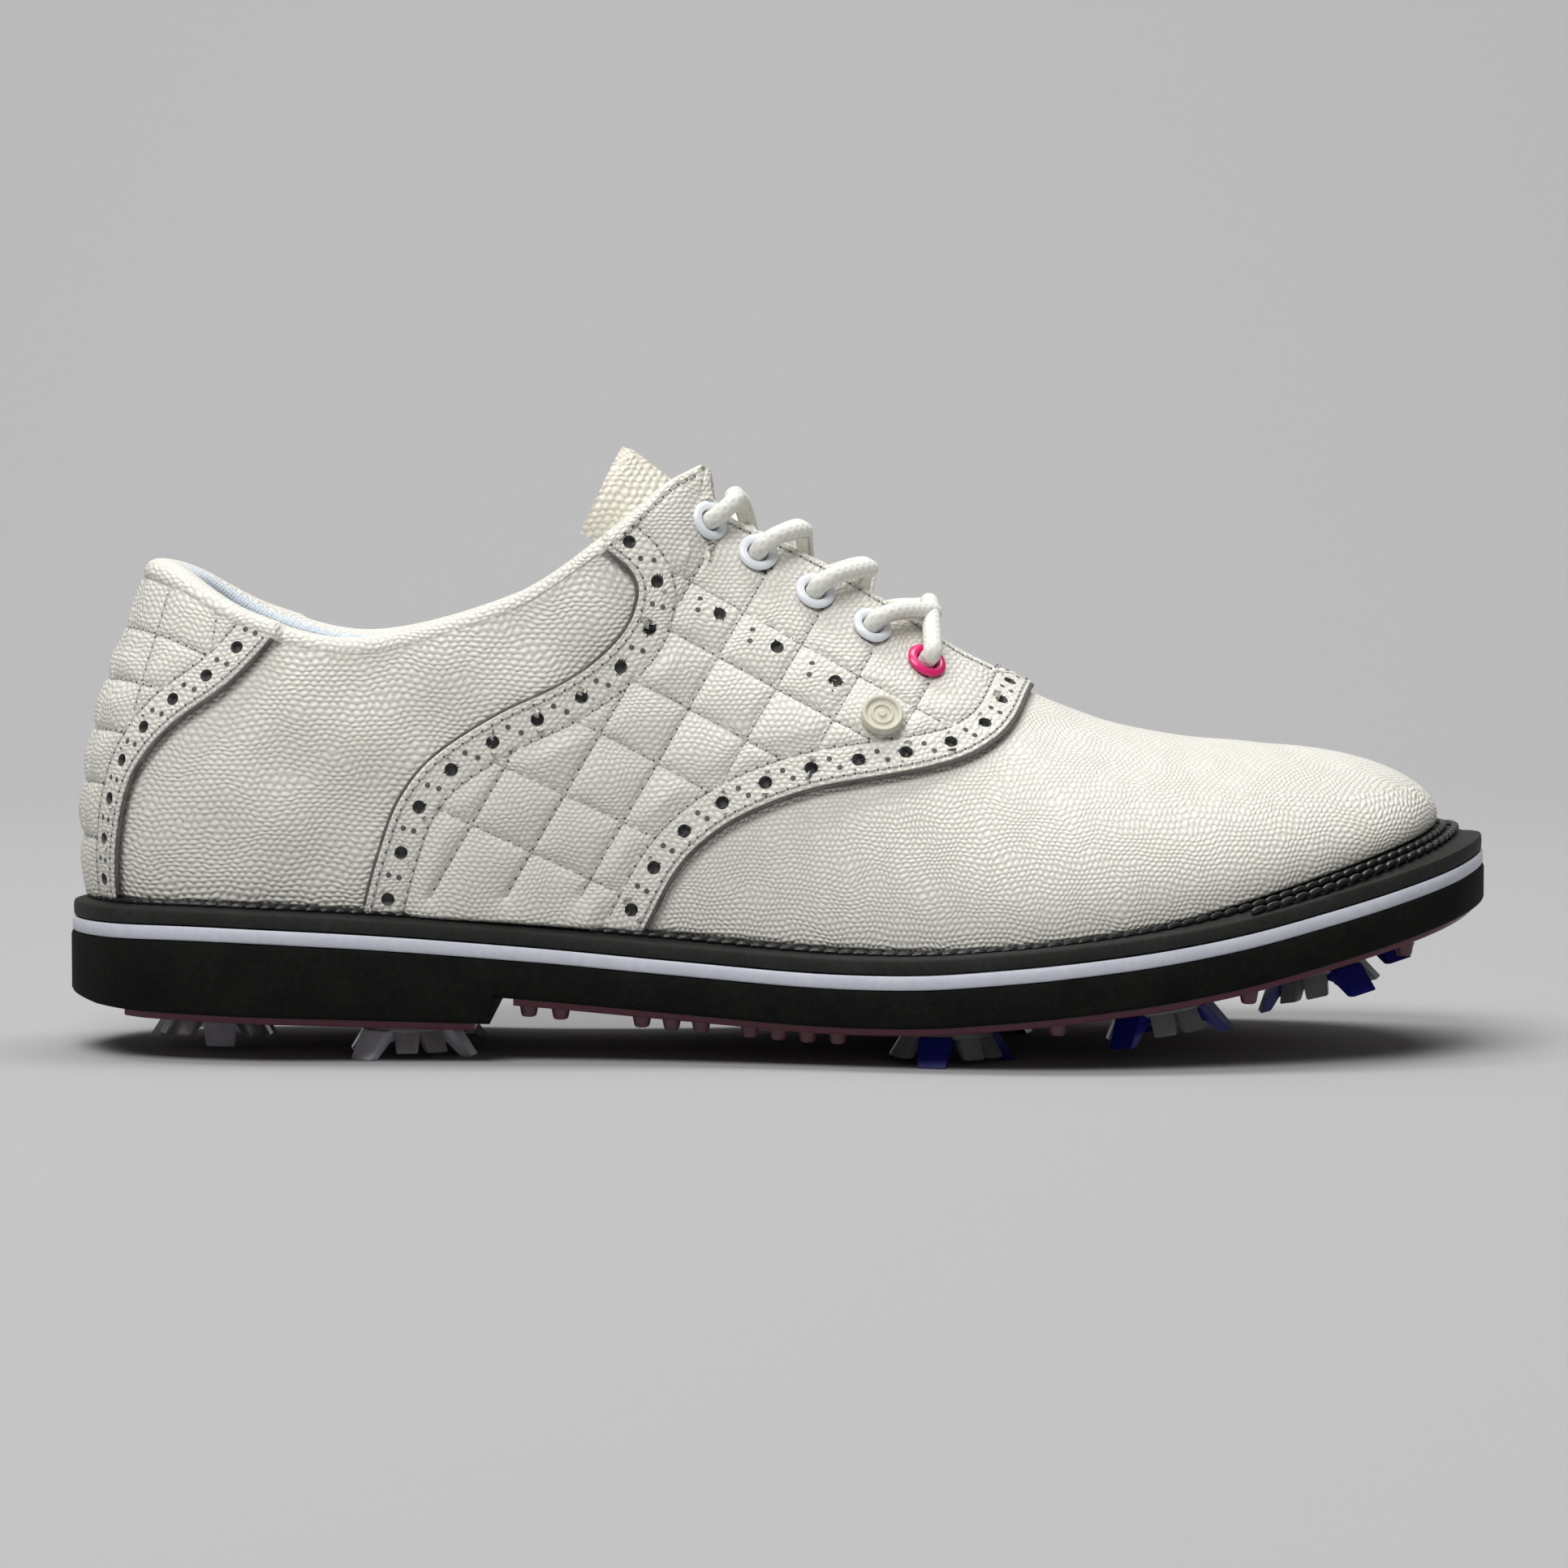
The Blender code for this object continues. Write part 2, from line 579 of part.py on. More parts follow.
def strand(start_side, k, frames):
    """A lace strand from eyelet k, over its rim, under the other rim and up to eyelet k + 1.

    Where two strands cross, the one from the lateral side lies on top.
    """
    other = "medial" if start_side == "lateral" else "lateral"
    spots = locate(EYELETS)
    start, end = in_mm(frames[start_side][k]), in_mm(frames[other][k + 1])
    u_out, u_in = spots[k][0] + 0.3, spots[k + 1][0] - 0.02
    top, under = rim_spot(start_side, u_out, OVERLAY[0] + LACE_R + 0.4), rim_spot(other, u_in, -5.6)
    middle = (Vector(top) + Vector(under)) / 2 + Vector((0, 0, CROSSING[start_side]))
    towards = (Vector(top) - start.translation).normalized()
    return [start @ Vector((0, 0, 1.4)), start @ Vector((0, 0, 3.5)) + towards * 1.4,
            start @ Vector((0, 0, 3.9)) + towards * 5.0, Vector(top), middle, Vector(under),
            end @ Vector((0, 0, -7.3)), end @ Vector((0, 0, -5))]


def bar(frames):
    """The straight bar of lace between the two lowest eyelets, over the throat."""
    a, b = in_mm(frames["lateral"][-1]), in_mm(frames["medial"][-1])
    u = locate(EYELETS)[-1][0] - 0.08
    over_a, over_b = (Vector(rim_spot(s, u, OVERLAY[0] + LACE_R + 0.4)) for s in ("lateral", "medial"))
    lift = Vector((0, 0, 1.5))
    return [a @ Vector((0, 0, 1.4)), a @ Vector((0, 0, 3.7)), over_a, (over_a + over_b) / 2 + lift, over_b,
            b @ Vector((0, 0, 3.7)), b @ Vector((0, 0, 1.4))]


def footbed_top(x, lift):
    return smooth_line(SOLE_LINE, x) + lift + 2.2 + GAP + 4.2


def tail(side, frames):
    """One end of the lace, from inside the top eyelet down the lining and along the footbed."""
    start = in_mm(frames[side][0])
    points = [start @ Vector((0, 0, -5)), start @ Vector((0, 0, -7.3))]
    sign = -1 if side == "lateral" else 1
    for u, v in ((6.6, 0.66), (6.66, 0.52), (6.85, 0.38), (7.15, 0.27)):
        points.append(Vector(on_last(u if sign < 0 else LOOP - u, v, -5.2)))
    for u in (7.6, 8.3, 9.0, 9.7):
        x, y, _, _, _, lift = smooth_loop(EDGE, u)
        half = abs(smooth_loop(EDGE, u if sign < 0 else LOOP - u)[1]) - 16.5
        points.append(Vector((x, sign * half, footbed_top(x, lift) + LACE_R + 1.3)))
    return points


def rounded(route):
    """The route with points under 1 mm apart left out, and one added halfway along each long stretch."""
    kept = [route[0]]
    for point in route[1:]:
        if (point - kept[-1]).length > 1.0:
            kept.append(point)
    made = kept[:2]
    for before, a, b, after in zip(kept, kept[1:], kept[2:], kept[3:]):
        if (b - a).length > LONG_STRETCH:
            made.append((9 * (a + b) - before - after) / 16)
        made.append(b)
    return made + kept[-1:]


def lace_route(frames):
    """The whole lace: tail, four strands down, the bar, four strands back up, tail."""
    sides = ("lateral", "medial")
    down, back = [], []
    for k in range(len(EYELETS) - 1):
        down.append(strand(sides[k % 2], k, frames))
        back.append(strand(sides[(k + 1) % 2], k, frames)[::-1])
    route = tail("lateral", frames)[::-1]
    for points in down:
        route += points
    route += bar(frames)
    for points in back[::-1]:
        route += points
    return rounded(route + tail("medial", frames))


def make_lace(frames):
    route = lace_route(frames)
    data = bpy.data.curves.new("lace", "CURVE")
    data.dimensions = "3D"
    data.bevel_depth = LACE_R * MM
    data.bevel_resolution = 2
    data.use_fill_caps = True
    spline = data.splines.new("POLY")
    spline.points.add(len(route) - 1)
    for slot, point in zip(spline.points, route):
        slot.co = (*(Vector(point) * MM), 1)
    lace = bpy.data.objects.new("lace", data)
    bpy.data.collections["golf_shoe"].objects.link(lace)
    data.materials.append(finish_of("lace_cotton"))
    for name, tip, before in (("aglet_lateral", route[0], route[1]), ("aglet_medial", route[-1], route[-2])):
        way = (tip - before).normalized()
        mesh = turned_mesh(name, [(0, 18), (1.7, 18), (2.0, 17), (2.0, GAP), (0, GAP)], 12)
        placed(name, mesh, frame_at(tip, way), "clear_tpu")


def make_badge():
    (u, v), = locate([BADGE])
    profile = [(0, 1.3), (3.5, 1.3), (3.7, 1.9), (4.2, 1.9), (4.4, 1.4), (4.4, 0.8), (0, 0.8)]
    placed("side_badge", turned_mesh("side_badge", profile, 16),
           frame_at(on_last(u, v, OVERLAY[0]), last_normal(u, v)), "badge_rubber")


def make_tongue():
    """Arched sections square to the centre line, swept from the base to the tip."""
    rows = np.array(TONGUE, float)
    fine = np.linspace(0, len(rows) - 1, 16)
    line = np.column_stack([smooth_line(np.column_stack([np.arange(len(rows)), rows[:, k]]), fine)
                            for k in range(5)])
    along = np.gradient(line[:, :2], axis=0)
    along /= np.linalg.norm(along, axis=1)[:, None]
    columns = []
    for (x, z, slope, roundness, half), (tx, tz) in zip(line, along):
        y = half * np.linspace(-1, 1, TONGUE_SLOPE_COLUMNS + 1)
        drop = slope * (np.sqrt(y**2 + 4) - 2) + roundness * y**2
        columns.append(np.column_stack([x - drop * tz, y, z + drop * tx]))
    bm = bmesh.new()
    grid_mesh(bm, np.array(columns))
    bm.normal_update()
    if sum(f.normal.z for f in bm.faces) < 0:
        bmesh.ops.reverse_faces(bm, faces=bm.faces)
    obj = add_object("tongue", mesh_from(bm, "tongue"), "tongue_leather")
    solidify(obj, TONGUE_T)


def ring(name, section, finish, count=56):
    """A closed strip round the sole. section(edge row) gives its (inset, height) points."""
    rows = np.linspace(0, LOOP, count, endpoint=False)
    bm = bmesh.new()
    loops = []
    for e in smooth_loop(EDGE, rows):
        points = []
        for inset, height in section(e):
            x, y = e[:2] - e[2:4] * inset
            points.append(bm.verts.new((x, y, smooth_line(SOLE_LINE, x) + height)))
        loops.append(points)
    for a, b in zip(loops, loops[1:] + loops[:1]):
        for j in range(len(a)):
            k = (j + 1) % len(a)
            bm.faces.new((a[j], a[k], b[k], b[j]))
    bmesh.ops.recalc_face_normals(bm, faces=bm.faces)
    return add_object(name, mesh_from(bm, name), finish)


def make_welt_and_stripe():
    ring("welt", lambda e: [(0.6, GAP), (0.6, WELT_EDGE - 0.3), (0.9, WELT_EDGE), (e[4], e[5] - GAP),
                            (e[4] + INNER_RING, e[5] - GAP), (e[4] + INNER_RING, GAP)], "welt_rubber")
    ring("white_stripe", lambda e: [(0.3, -STRIPE), (0.3, 0), (e[4] + INNER_RING, 0),
                                    (e[4] + INNER_RING, -STRIPE)], "stripe_rubber")


def slab(name, rows, outline, low, high, finish):
    """A plate between the lateral and medial outlines. low and high give heights from x and a row."""
    bm = bmesh.new()
    decks = []
    for height in (high, low):
        deck = []
        for u in rows:
            pair = []
            for row in (u, LOOP - u):
                x, y = outline(row)
                pair.append(bm.verts.new((x, y, height(x, u))))
            deck.append(pair)
        decks.append(deck)
    top, bottom = decks
    for i in range(len(rows) - 1):
        bm.faces.new((top[i][0], top[i + 1][0], top[i + 1][1], top[i][1]))
        bm.faces.new((bottom[i][1], bottom[i + 1][1], bottom[i + 1][0], bottom[i][0]))
        for side in (0, 1):
            bm.faces.new((top[i][side], bottom[i][side], bottom[i + 1][side], top[i + 1][side]))
    for i in (0, -1):
        bm.faces.new((top[i][0], top[i][1], bottom[i][1], bottom[i][0]))
    drop_thin_faces(bm, 0.01)
    bmesh.ops.recalc_face_normals(bm, faces=bm.faces)
    return add_object(name, mesh_from(bm, name), finish)


def inside_edge(extra, insets=0.0):
    """An outline function: the sole's edge drawn in by extra and by so many times the feather's inset."""
    def outline(row):
        e = smooth_loop(EDGE, row)
        return e[:2] - e[2:4] * (extra + insets * e[4])
    return outline


def lift_at(u):
    return smooth_loop(EDGE, u)[5]


def row_at(x):
    """The lateral row where the sole's edge reaches x."""
    rows = np.linspace(0, TOE, 1501)
    return float(np.interp(x, smooth_loop(EDGE, rows)[:, 0], rows))


def sole_z(x):
    return smooth_line(SOLE_LINE, x)


def midsole_bottom(x):
    return sole_z(x) - MIDSOLE_DROP if x > HEEL_BREAST_X else straight_line(HEEL_BOTTOM, x)


def cleat_frames():
    """Placing matrix of each cleat, on the underside of the outsole plates, with its leg height."""
    reach = {"heel": (-88, -68), "forefoot": (25, 45)}
    heights = {kind: min(map(midsole_bottom, ends)) - GAP - OUTSOLE_T for kind, ends in reach.items()}
    made = {}
    for name, x, y, turn, stands, kind in CLEATS:
        z = heights[kind] if stands else midsole_bottom(x) - GAP - OUTSOLE_T
        slope = 0 if stands else (midsole_bottom(x + 5) - midsole_bottom(x - 5)) / 10
        made[name] = (frame_at((x, y, z), (-slope, 0, 1)), math.radians(turn), kind)
    return made, heights


def make_pockets(frames):
    bm = bmesh.new()
    for matrix, _, _ in frames.values():
        cylinder_into(bm, in_mm(matrix), POCKET_R, -6, OUTSOLE_T + GAP + 5.2, 20)
    return add_object("cleat_pockets", mesh_from(bm, "cleat_pockets", False), None, hidden=True)


def make_sole(frames):
    pockets = make_pockets(frames)
    breast = row_at(HEEL_BREAST_X)
    rows = np.concatenate([np.linspace(0, breast - 0.03, 16), [breast + 0.03],
                           np.linspace(breast + 0.2, TOE, 34)])
    midsole = slab("midsole", rows, inside_edge(0), lambda x, u: midsole_bottom(x),
                   lambda x, u: sole_z(x) - STRIPE - GAP, "midsole_rubber")
    front = slab("outsole_forefoot", np.linspace(row_at(-55), TOE, 34), inside_edge(2.0),
                 lambda x, u: sole_z(x) - MIDSOLE_DROP - GAP - OUTSOLE_T,
                 lambda x, u: sole_z(x) - MIDSOLE_DROP - GAP, "burgundy_tpu")
    heel = slab("outsole_heel", np.linspace(row_at(-138), row_at(-63), 14), inside_edge(2.0),
                lambda x, u: midsole_bottom(x) - GAP - OUTSOLE_T,
                lambda x, u: midsole_bottom(x) - GAP, "burgundy_tpu")
    nubs = make_nubs()
    boolean(front, nubs, "UNION")
    for obj in (midsole, front, heel):
        boolean(obj, pockets, "DIFFERENCE")


def make_nubs():
    """The small studs along the edge of the forefoot plate."""
    bm = bmesh.new()
    for x in NUB_ROWS:
        u = row_at(x)
        for row in (u, LOOP - u):
            px, py = inside_edge(NUB_EDGE)(row)
            z = sole_z(px) - MIDSOLE_DROP - GAP - OUTSOLE_T
            place = Matrix.Translation((px, py, z - 0.9))
            bmesh.ops.create_cone(bm, cap_ends=True, segments=8, radius1=1.3, radius2=2.0, depth=3.0,
                                  matrix=place)
    return add_object("outsole_nubs", mesh_from(bm, "outsole_nubs", False), None, hidden=True)


def make_insides():
    """Board, filler, shank and footbed."""
    rows = np.linspace(0, TOE, 40)
    slab("insole_board", rows, inside_edge(-0.2, 1.85), lambda x, u: sole_z(x) + lift_at(u),
         lambda x, u: sole_z(x) + lift_at(u) + 2.0, "board")
    slab("footbed", rows, inside_edge(0.6, 1.9), lambda x, u: sole_z(x) + lift_at(u) + 2.2 + GAP,
         lambda x, u: sole_z(x) + lift_at(u) + 6.4 + GAP, "footbed_foam")
    slab("bottom_filler", np.linspace(0, TOE, 30), inside_edge(INNER_RING + GAP, 1.0),
         lambda x, u: sole_z(x) - STRIPE, lambda x, u: sole_z(x) + lift_at(u) - 2.0, "cork")
    slab("steel_shank", np.linspace(row_at(-112), row_at(-8), 14),
         lambda row: (smooth_loop(EDGE, row)[0], -7.5 if row < TOE else 6.0),
         lambda x, u: sole_z(x) + lift_at(u) - 1.7, lambda x, u: sole_z(x) + lift_at(u) - 0.4, "steel")


def leg(bm, profile, width, turn):
    """Adds a leg: a side profile of (radius, height) points, as wide as given, at a turn about Z."""
    spin = Matrix.Rotation(turn, 4, "Z")
    sides = [[bm.verts.new(spin @ Vector((r, y, z))) for r, z in profile] for y in (-width / 2, width / 2)]
    faces = [bm.faces.new(sides[0]), bm.faces.new(sides[1][::-1])]
    for j in range(len(profile)):
        k = (j + 1) % len(profile)
        faces.append(bm.faces.new((sides[0][j], sides[1][j], sides[1][k], sides[0][k])))
    bmesh.ops.recalc_face_normals(bm, faces=faces)


def cleat_mesh(kind, height):
    """Stem, flange, three long splayed legs and six short ones, joined."""
    body = turned_mesh(f"cleat_{kind}", [(0, 5.4), (STEM_R, 5.4), (STEM_R, -GAP), (FLANGE_R, -GAP),
                                         (FLANGE_R - 0.4, -1.7), (4.5, -3.0), (0, -3.2)], 12)
    base = add_object(f"cleat_{kind}_base", body, None, hidden=True)
    bm = bmesh.new()
    long_leg = [(6, -1.0), (10.6, -0.9), (LONG_LEG_R, -height), (LONG_LEG_R - 2.2, -height),
                (8.6, -3.8), (6, -2.6)]
    foot = -height + SHORT_LEG_LIFT
    short_leg = [(7, -1.0), (9.2, -1.0), (SHORT_LEG_R, foot), (SHORT_LEG_R - 2.0, foot), (7.6, -2.3)]
    for third in range(3):
        turn = math.radians(120 * third)
        leg(bm, long_leg, 4.2, turn)
        for side in (44, 76):
            leg(bm, short_leg, 2.6, turn + math.radians(side))
    legs = add_object(f"cleat_{kind}_legs", mesh_from(bm, f"cleat_{kind}_legs", False), None, hidden=True)
    boolean(base, legs, "UNION")
    mesh = bake(base, f"cleat_{kind}")
    bpy.data.objects.remove(legs)
    return mesh


def make_cleats(frames, heights):
    meshes = {kind: cleat_mesh(kind, height) for kind, height in heights.items()}
    finishes = {"heel": "clear_tpu", "forefoot": "blue_tpu"}
    floor = OUTSOLE_T + GAP
    cup = [(0, floor + 4.9), (POCKET_R - GAP, floor + 4.9), (POCKET_R - GAP, 0.3), (STEM_R + 0.8, 0.3),
           (STEM_R + 0.8, floor + 4.2), (0, floor + 4.2)]
    receptacle = turned_mesh("receptacle", cup, 12)
    for name, (matrix, turn, kind) in frames.items():
        placed(f"receptacle_{name}", receptacle.copy(), matrix, "receptacle_nylon")
        placed(f"cleat_{name}", meshes[kind].copy(), matrix @ Matrix.Rotation(turn, 4, "Z"), finishes[kind])


def main():
    clear_scene()
    frames = eyelet_frames()
    make_eyelet_holes(frames)
    make_quarters()
    make_saddles()
    make_heel_cover()
    make_vamp()
    make_rear_lining()
    make_tongue()
    make_eyelets(frames)
    make_lace(frames)
    make_badge()
    make_welt_and_stripe()
    cleats, heights = cleat_frames()
    make_sole(cleats)
    make_insides()
    make_cleats(cleats, heights)


main()
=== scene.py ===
"""The looks of the golf shoe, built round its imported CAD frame.

+X points to the toe, +Y to the inner (medial) side and +Z up, with the floor at Z = 0. Sizes are in
millimetres, and MM turns them into metres where a mesh is made. The upper follows one smooth "last"
surface in (u, v): u is the fractional row round the shoe and v runs from the feather line (0), where
the upper meets the welt, to the topline or the ridge (1). Paths are drawn for the lateral side and
mirrored for the medial side.
"""

import math

import bmesh
import bpy
import numpy as np
from mathutils import Matrix, Vector
from mathutils.kdtree import KDTree


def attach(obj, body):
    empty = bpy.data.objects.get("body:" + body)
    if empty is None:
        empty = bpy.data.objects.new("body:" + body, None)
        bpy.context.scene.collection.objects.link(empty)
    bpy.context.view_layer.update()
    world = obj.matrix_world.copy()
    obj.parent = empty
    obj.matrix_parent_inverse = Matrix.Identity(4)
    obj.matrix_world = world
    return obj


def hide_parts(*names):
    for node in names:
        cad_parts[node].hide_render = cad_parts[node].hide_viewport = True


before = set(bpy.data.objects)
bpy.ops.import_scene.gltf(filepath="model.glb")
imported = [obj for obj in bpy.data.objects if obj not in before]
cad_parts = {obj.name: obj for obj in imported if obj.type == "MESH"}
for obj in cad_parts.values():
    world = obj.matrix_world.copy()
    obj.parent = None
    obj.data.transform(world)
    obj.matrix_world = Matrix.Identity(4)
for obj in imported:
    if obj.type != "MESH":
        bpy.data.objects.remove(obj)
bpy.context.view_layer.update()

MM = 0.001
GAP = 0.35

# Station: sole edge (x, lateral y, medial y), inset of the feather line, height of the feather line
# over the sole line, bulge and rise of the first handle, top point (x, y, z), second handle (x, y, z).
STATIONS = [
    (-151.0, 0.0, 0.0, 6.5, 4.8, 6, 27, (-131.5, 0.0, 104.5), (-7, 0, -22)),
    (-139.5, 26.5, 26.5, 6.0, 4.8, 6, 27, (-125.0, 15.0, 102.0), (-4, 5, -20)),
    (-114.0, 37.0, 37.0, 6.0, 4.8, 6, 25, (-109.0, 25.5, 93.5), (0, 6, -18)),
    (-88.0, 37.5, 37.0, 6.0, 4.9, 5, 22, (-87.0, 29.5, 89.0), (0, 5, -17)),
    (-64.0, 37.3, 35.5, 6.0, 5.0, 5, 24, (-57.0, 29.5, 97.0), (-2, 6, -20)),
    (-48.0, 37.5, 33.5, 6.0, 5.1, 4, 27, (-37.0, 25.5, 109.3), (-3, 7, -22)),
    (-33.0, 38.5, 33.0, 6.0, 5.2, 3, 31, (-21.5, 15.0, 121.3), (-2, 10, -13)),
    (-18.0, 40.5, 34.0, 6.0, 5.2, 3, 33, (-9.0, 0.0, 123.5), (-3, 17, -10)),
    (4.0, 45.0, 38.5, 6.0, 4.9, 3, 33, (14.0, 0.0, 107.0), (-3, 20, -10)),
    (32.0, 52.0, 47.0, 6.0, 4.3, 3, 26, (44.0, 0.0, 81.5), (-3, 25, -4)),
    (58.0, 55.2, 53.5, 6.0, 4.3, 3, 19, (66.0, 0.0, 70.8), (-2, 29, 0)),
    (84.0, 52.5, 55.2, 6.0, 5.2, 3, 16, (84.0, 0.0, 66.6), (0, 29, 0)),
    (108.0, 46.5, 52.0, 6.5, 6.9, 3, 12, (97.0, 0.0, 65.3), (5, 26, 0)),
    (128.5, 37.0, 44.5, 8.0, 7.9, 3, 9, (102.0, 0.0, 64.8), (11, 20, -1)),
    (143.5, 21.5, 30.5, 9.5, 8.4, 3, 8, (104.0, 0.0, 64.6), (19, 13, -1)),
    (151.0, -4.5, 4.5, 10.5, 8.4, 3, 7, (104.5, 0.0, 64.6), (24, 0, -1)),
]
TOE = len(STATIONS) - 1
LOOP = 2 * TOE

# The sole line is the top of the white stripe, as (x, z).
SOLE_LINE = [(-152, 28.1), (-125, 28.4), (-87, 26.8), (-53, 24.3), (-20, 21.5), (13, 19.5), (30, 19.7),
             (46, 21.0), (63, 22.8), (79, 24.9), (96, 28.0), (113, 32.1), (132, 37.0), (152, 42.5)]
WELT_EDGE = 3.6
STRIPE = 2.9
MIDSOLE_DROP = 10.9
HEEL_BREAST_X = -59.5
HEEL_BOTTOM = [(-151, 12.2), (-144, 11.0), (-134, 10.4), (-60, 8.3)]
OUTSOLE_T = 1.2
INNER_RING = 6.0
HEEL_SEAM = 0.05

# Layers of the upper, as the outer face's offset from the last and the thickness.
OVERLAY = (2.1, 1.3)
LEATHER = (0.0, 1.6)
REAR_LINING = (-1.95, 0.9)
STIFFENER_SWELL = 1.3
COLLAR_SWELL = 3.3

# Side-view outlines on the lateral side, from the feather line up, as (x, z).
SADDLE_REAR = [(-86, 32), (-82.5, 44), (-78, 55.3), (-70, 64.5), (-57, 72.7), (-43.5, 79.3),
               (-33.5, 87.6), (-30, 94.3), (-30.2, 100.2), (-36.5, 109.2)]
SADDLE_FRONT = [(-28, 27), (-21.5, 39.4), (-13, 47.9), (0, 54.5), (17, 58.5), (32, 61), (42.4, 64.5),
                (48.9, 69.8), (53, 75.8)]
VAMP_REAR = [(-38, 28), (-31, 40), (-21, 49.5), (-8, 56.5), (9, 61), (25, 63.8), (36, 67.5),
             (44, 72.5), (51.2, 77.5)]
HEEL_COVER_FRONT = [(-137.5, 33.5), (-137, 46.7), (-134, 58.7), (-126.3, 68.9), (-116, 76.5),
                    (-109.5, 82.4), (-104, 89.5)]
EYELETS = [(-16.1, 111.3), (-5.0, 104.1), (6.9, 95.9), (18.6, 88.6), (29.9, 81.0)]
BADGE = (21.0, 70.3)

RIM_START = 6.35
RIM_END = 9.22
RIM_HALF = [(6.35, 12.5), (6.7, 11.0), (7.2, 10.2), (8.2, 9.2), (8.8, 7.4), (9.08, 4.8), (9.22, 0.6)]

LACE_R = 1.95
LONG_STRETCH = 11.0
CROSSING = {"lateral": 2.4, "medial": -2.6}
EYELET_R = 4.3
BARREL_R = 3.0
BORE_R = 2.35

# Cleat: name, x, y, turn of its first long leg, True where it stands on the floor, forefoot or heel.
CLEATS = [
    ("heel_rear", -120.0, -2.0, 190, False, "heel"),
    ("heel_lateral", -78.0, -18.0, 290, True, "heel"),
    ("heel_medial", -78.0, 18.0, 70, True, "heel"),
    ("waist_lateral", 35.0, -31.0, 195, True, "forefoot"),
    ("waist_medial", 41.0, 27.0, 165, True, "forefoot"),
    ("ball_lateral", 79.0, -34.0, 195, False, "forefoot"),
    ("ball_medial", 85.0, 36.0, 165, False, "forefoot"),
    ("toe_lateral", 113.0, -22.0, 270, False, "forefoot"),
    ("toe_medial", 125.0, 17.0, 30, False, "forefoot"),
]
FLANGE_R = 9.8
STEM_R = 5.0
LONG_LEG_R = 14.4
SHORT_LEG_R = 12.0
SHORT_LEG_LIFT = 1.4

NUB_ROWS = [-52, -45.5, -29, -23, -17, -7, -1.2, 4.8, 11, 57, 98, 134]
NUB_EDGE = 5.5
NUB_PROFILE = [(0, -2.3), (1.0, -2.3), (1.45, -2.1), (1.65, -1.6), (2.0, 0.2), (2.0, 0.6), (0, 0.6)]


def smooth_loop(table, u):
    """Catmull-Rom values of a closed table at the fractional rows u."""
    u = np.asarray(u, float)
    row = np.floor(u).astype(int)
    f = (u - row)[..., None]
    a, b, c, d = (table[(row + k) % len(table)] for k in (-1, 0, 1, 2))
    return b + f / 2 * (c - a + f * (2 * a - 5 * b + 4 * c - d + f * (3 * (b - c) + d - a)))


def smooth_line(points, x):
    """Height at x of the smooth line through points (x, height)."""
    xs, zs = np.array(points, float).T
    slope = np.gradient(zs, xs)
    i = np.clip(np.searchsorted(xs, x) - 1, 0, len(xs) - 2)
    h = xs[i + 1] - xs[i]
    t = (x - xs[i]) / h
    rise = zs[i + 1] - zs[i]
    return zs[i] + t * (h * slope[i] + t * (3 * rise - h * (2 * slope[i] + slope[i + 1])
                        + t * (h * (slope[i] + slope[i + 1]) - 2 * rise)))


def unit(vectors):
    return vectors / np.linalg.norm(vectors, axis=-1)[..., None]


def run_along(points):
    """The distance run at each point of a line of points."""
    return np.concatenate([[0], np.cumsum(np.linalg.norm(np.diff(points, axis=0), axis=1))])


def straight_line(points, x):
    xs, zs = np.array(points, float).T
    return np.interp(x, xs, zs)


def loop_rows():
    """(side, station) for each row of the closed loop: lateral out, medial back."""
    return [(-1, s) for s in STATIONS] + [(1, s) for s in STATIONS[TOE - 1:0:-1]]


def build_tables():
    """The sole edge with its outward normal, inset and lift, and the last's four control points."""
    rows = loop_rows()
    edge = np.array([(s[0], -s[1] if side < 0 else s[2]) for side, s in rows])
    along = np.roll(edge, -1, 0) - np.roll(edge, 1, 0)
    out = np.stack([-along[:, 1], along[:, 0]], 1)
    out /= -np.linalg.norm(out, axis=1)[:, None]
    inset = np.array([s[3] for _, s in rows])
    lift = np.array([s[4] for _, s in rows])
    foot = edge - out * inset[:, None]
    foot = np.column_stack([foot, smooth_line(SOLE_LINE, foot[:, 0]) + lift])
    out3 = np.column_stack([out, np.zeros(len(out))])
    bulge = np.array([s[5] for _, s in rows])[:, None]
    rise = np.array([s[6] for _, s in rows])[:, None]
    top = np.array([(s[7][0], side * s[7][1], s[7][2]) for side, s in rows])
    handle = np.array([(s[8][0], side * s[8][1], s[8][2]) for side, s in rows])
    last = np.column_stack([foot, foot + out3 * bulge + rise * [0, 0, 1], top + handle, top])
    return np.column_stack([edge, out, inset, lift]), last


EDGE, LAST = build_tables()


def last_point(u, v):
    """The last's surface at (u, v)."""
    c = smooth_loop(LAST, u)
    v = np.asarray(v, float)[..., None]
    w = 1 - v
    return w**3 * c[..., :3] + 3 * w**2 * v * c[..., 3:6] + 3 * w * v**2 * c[..., 6:9] + v**3 * c[..., 9:]


def last_normal(u, v):
    """The outward unit normal at (u, v), from small steps on the surface."""
    step = 0.004
    du = last_point(u + step, v) - last_point(u - step, v)
    dv = last_point(u, v + step) - last_point(u, v - step)
    return unit(np.cross(du, dv))


def on_last(u, v, offset=0.0):
    return last_point(u, v) + last_normal(u, v) * offset


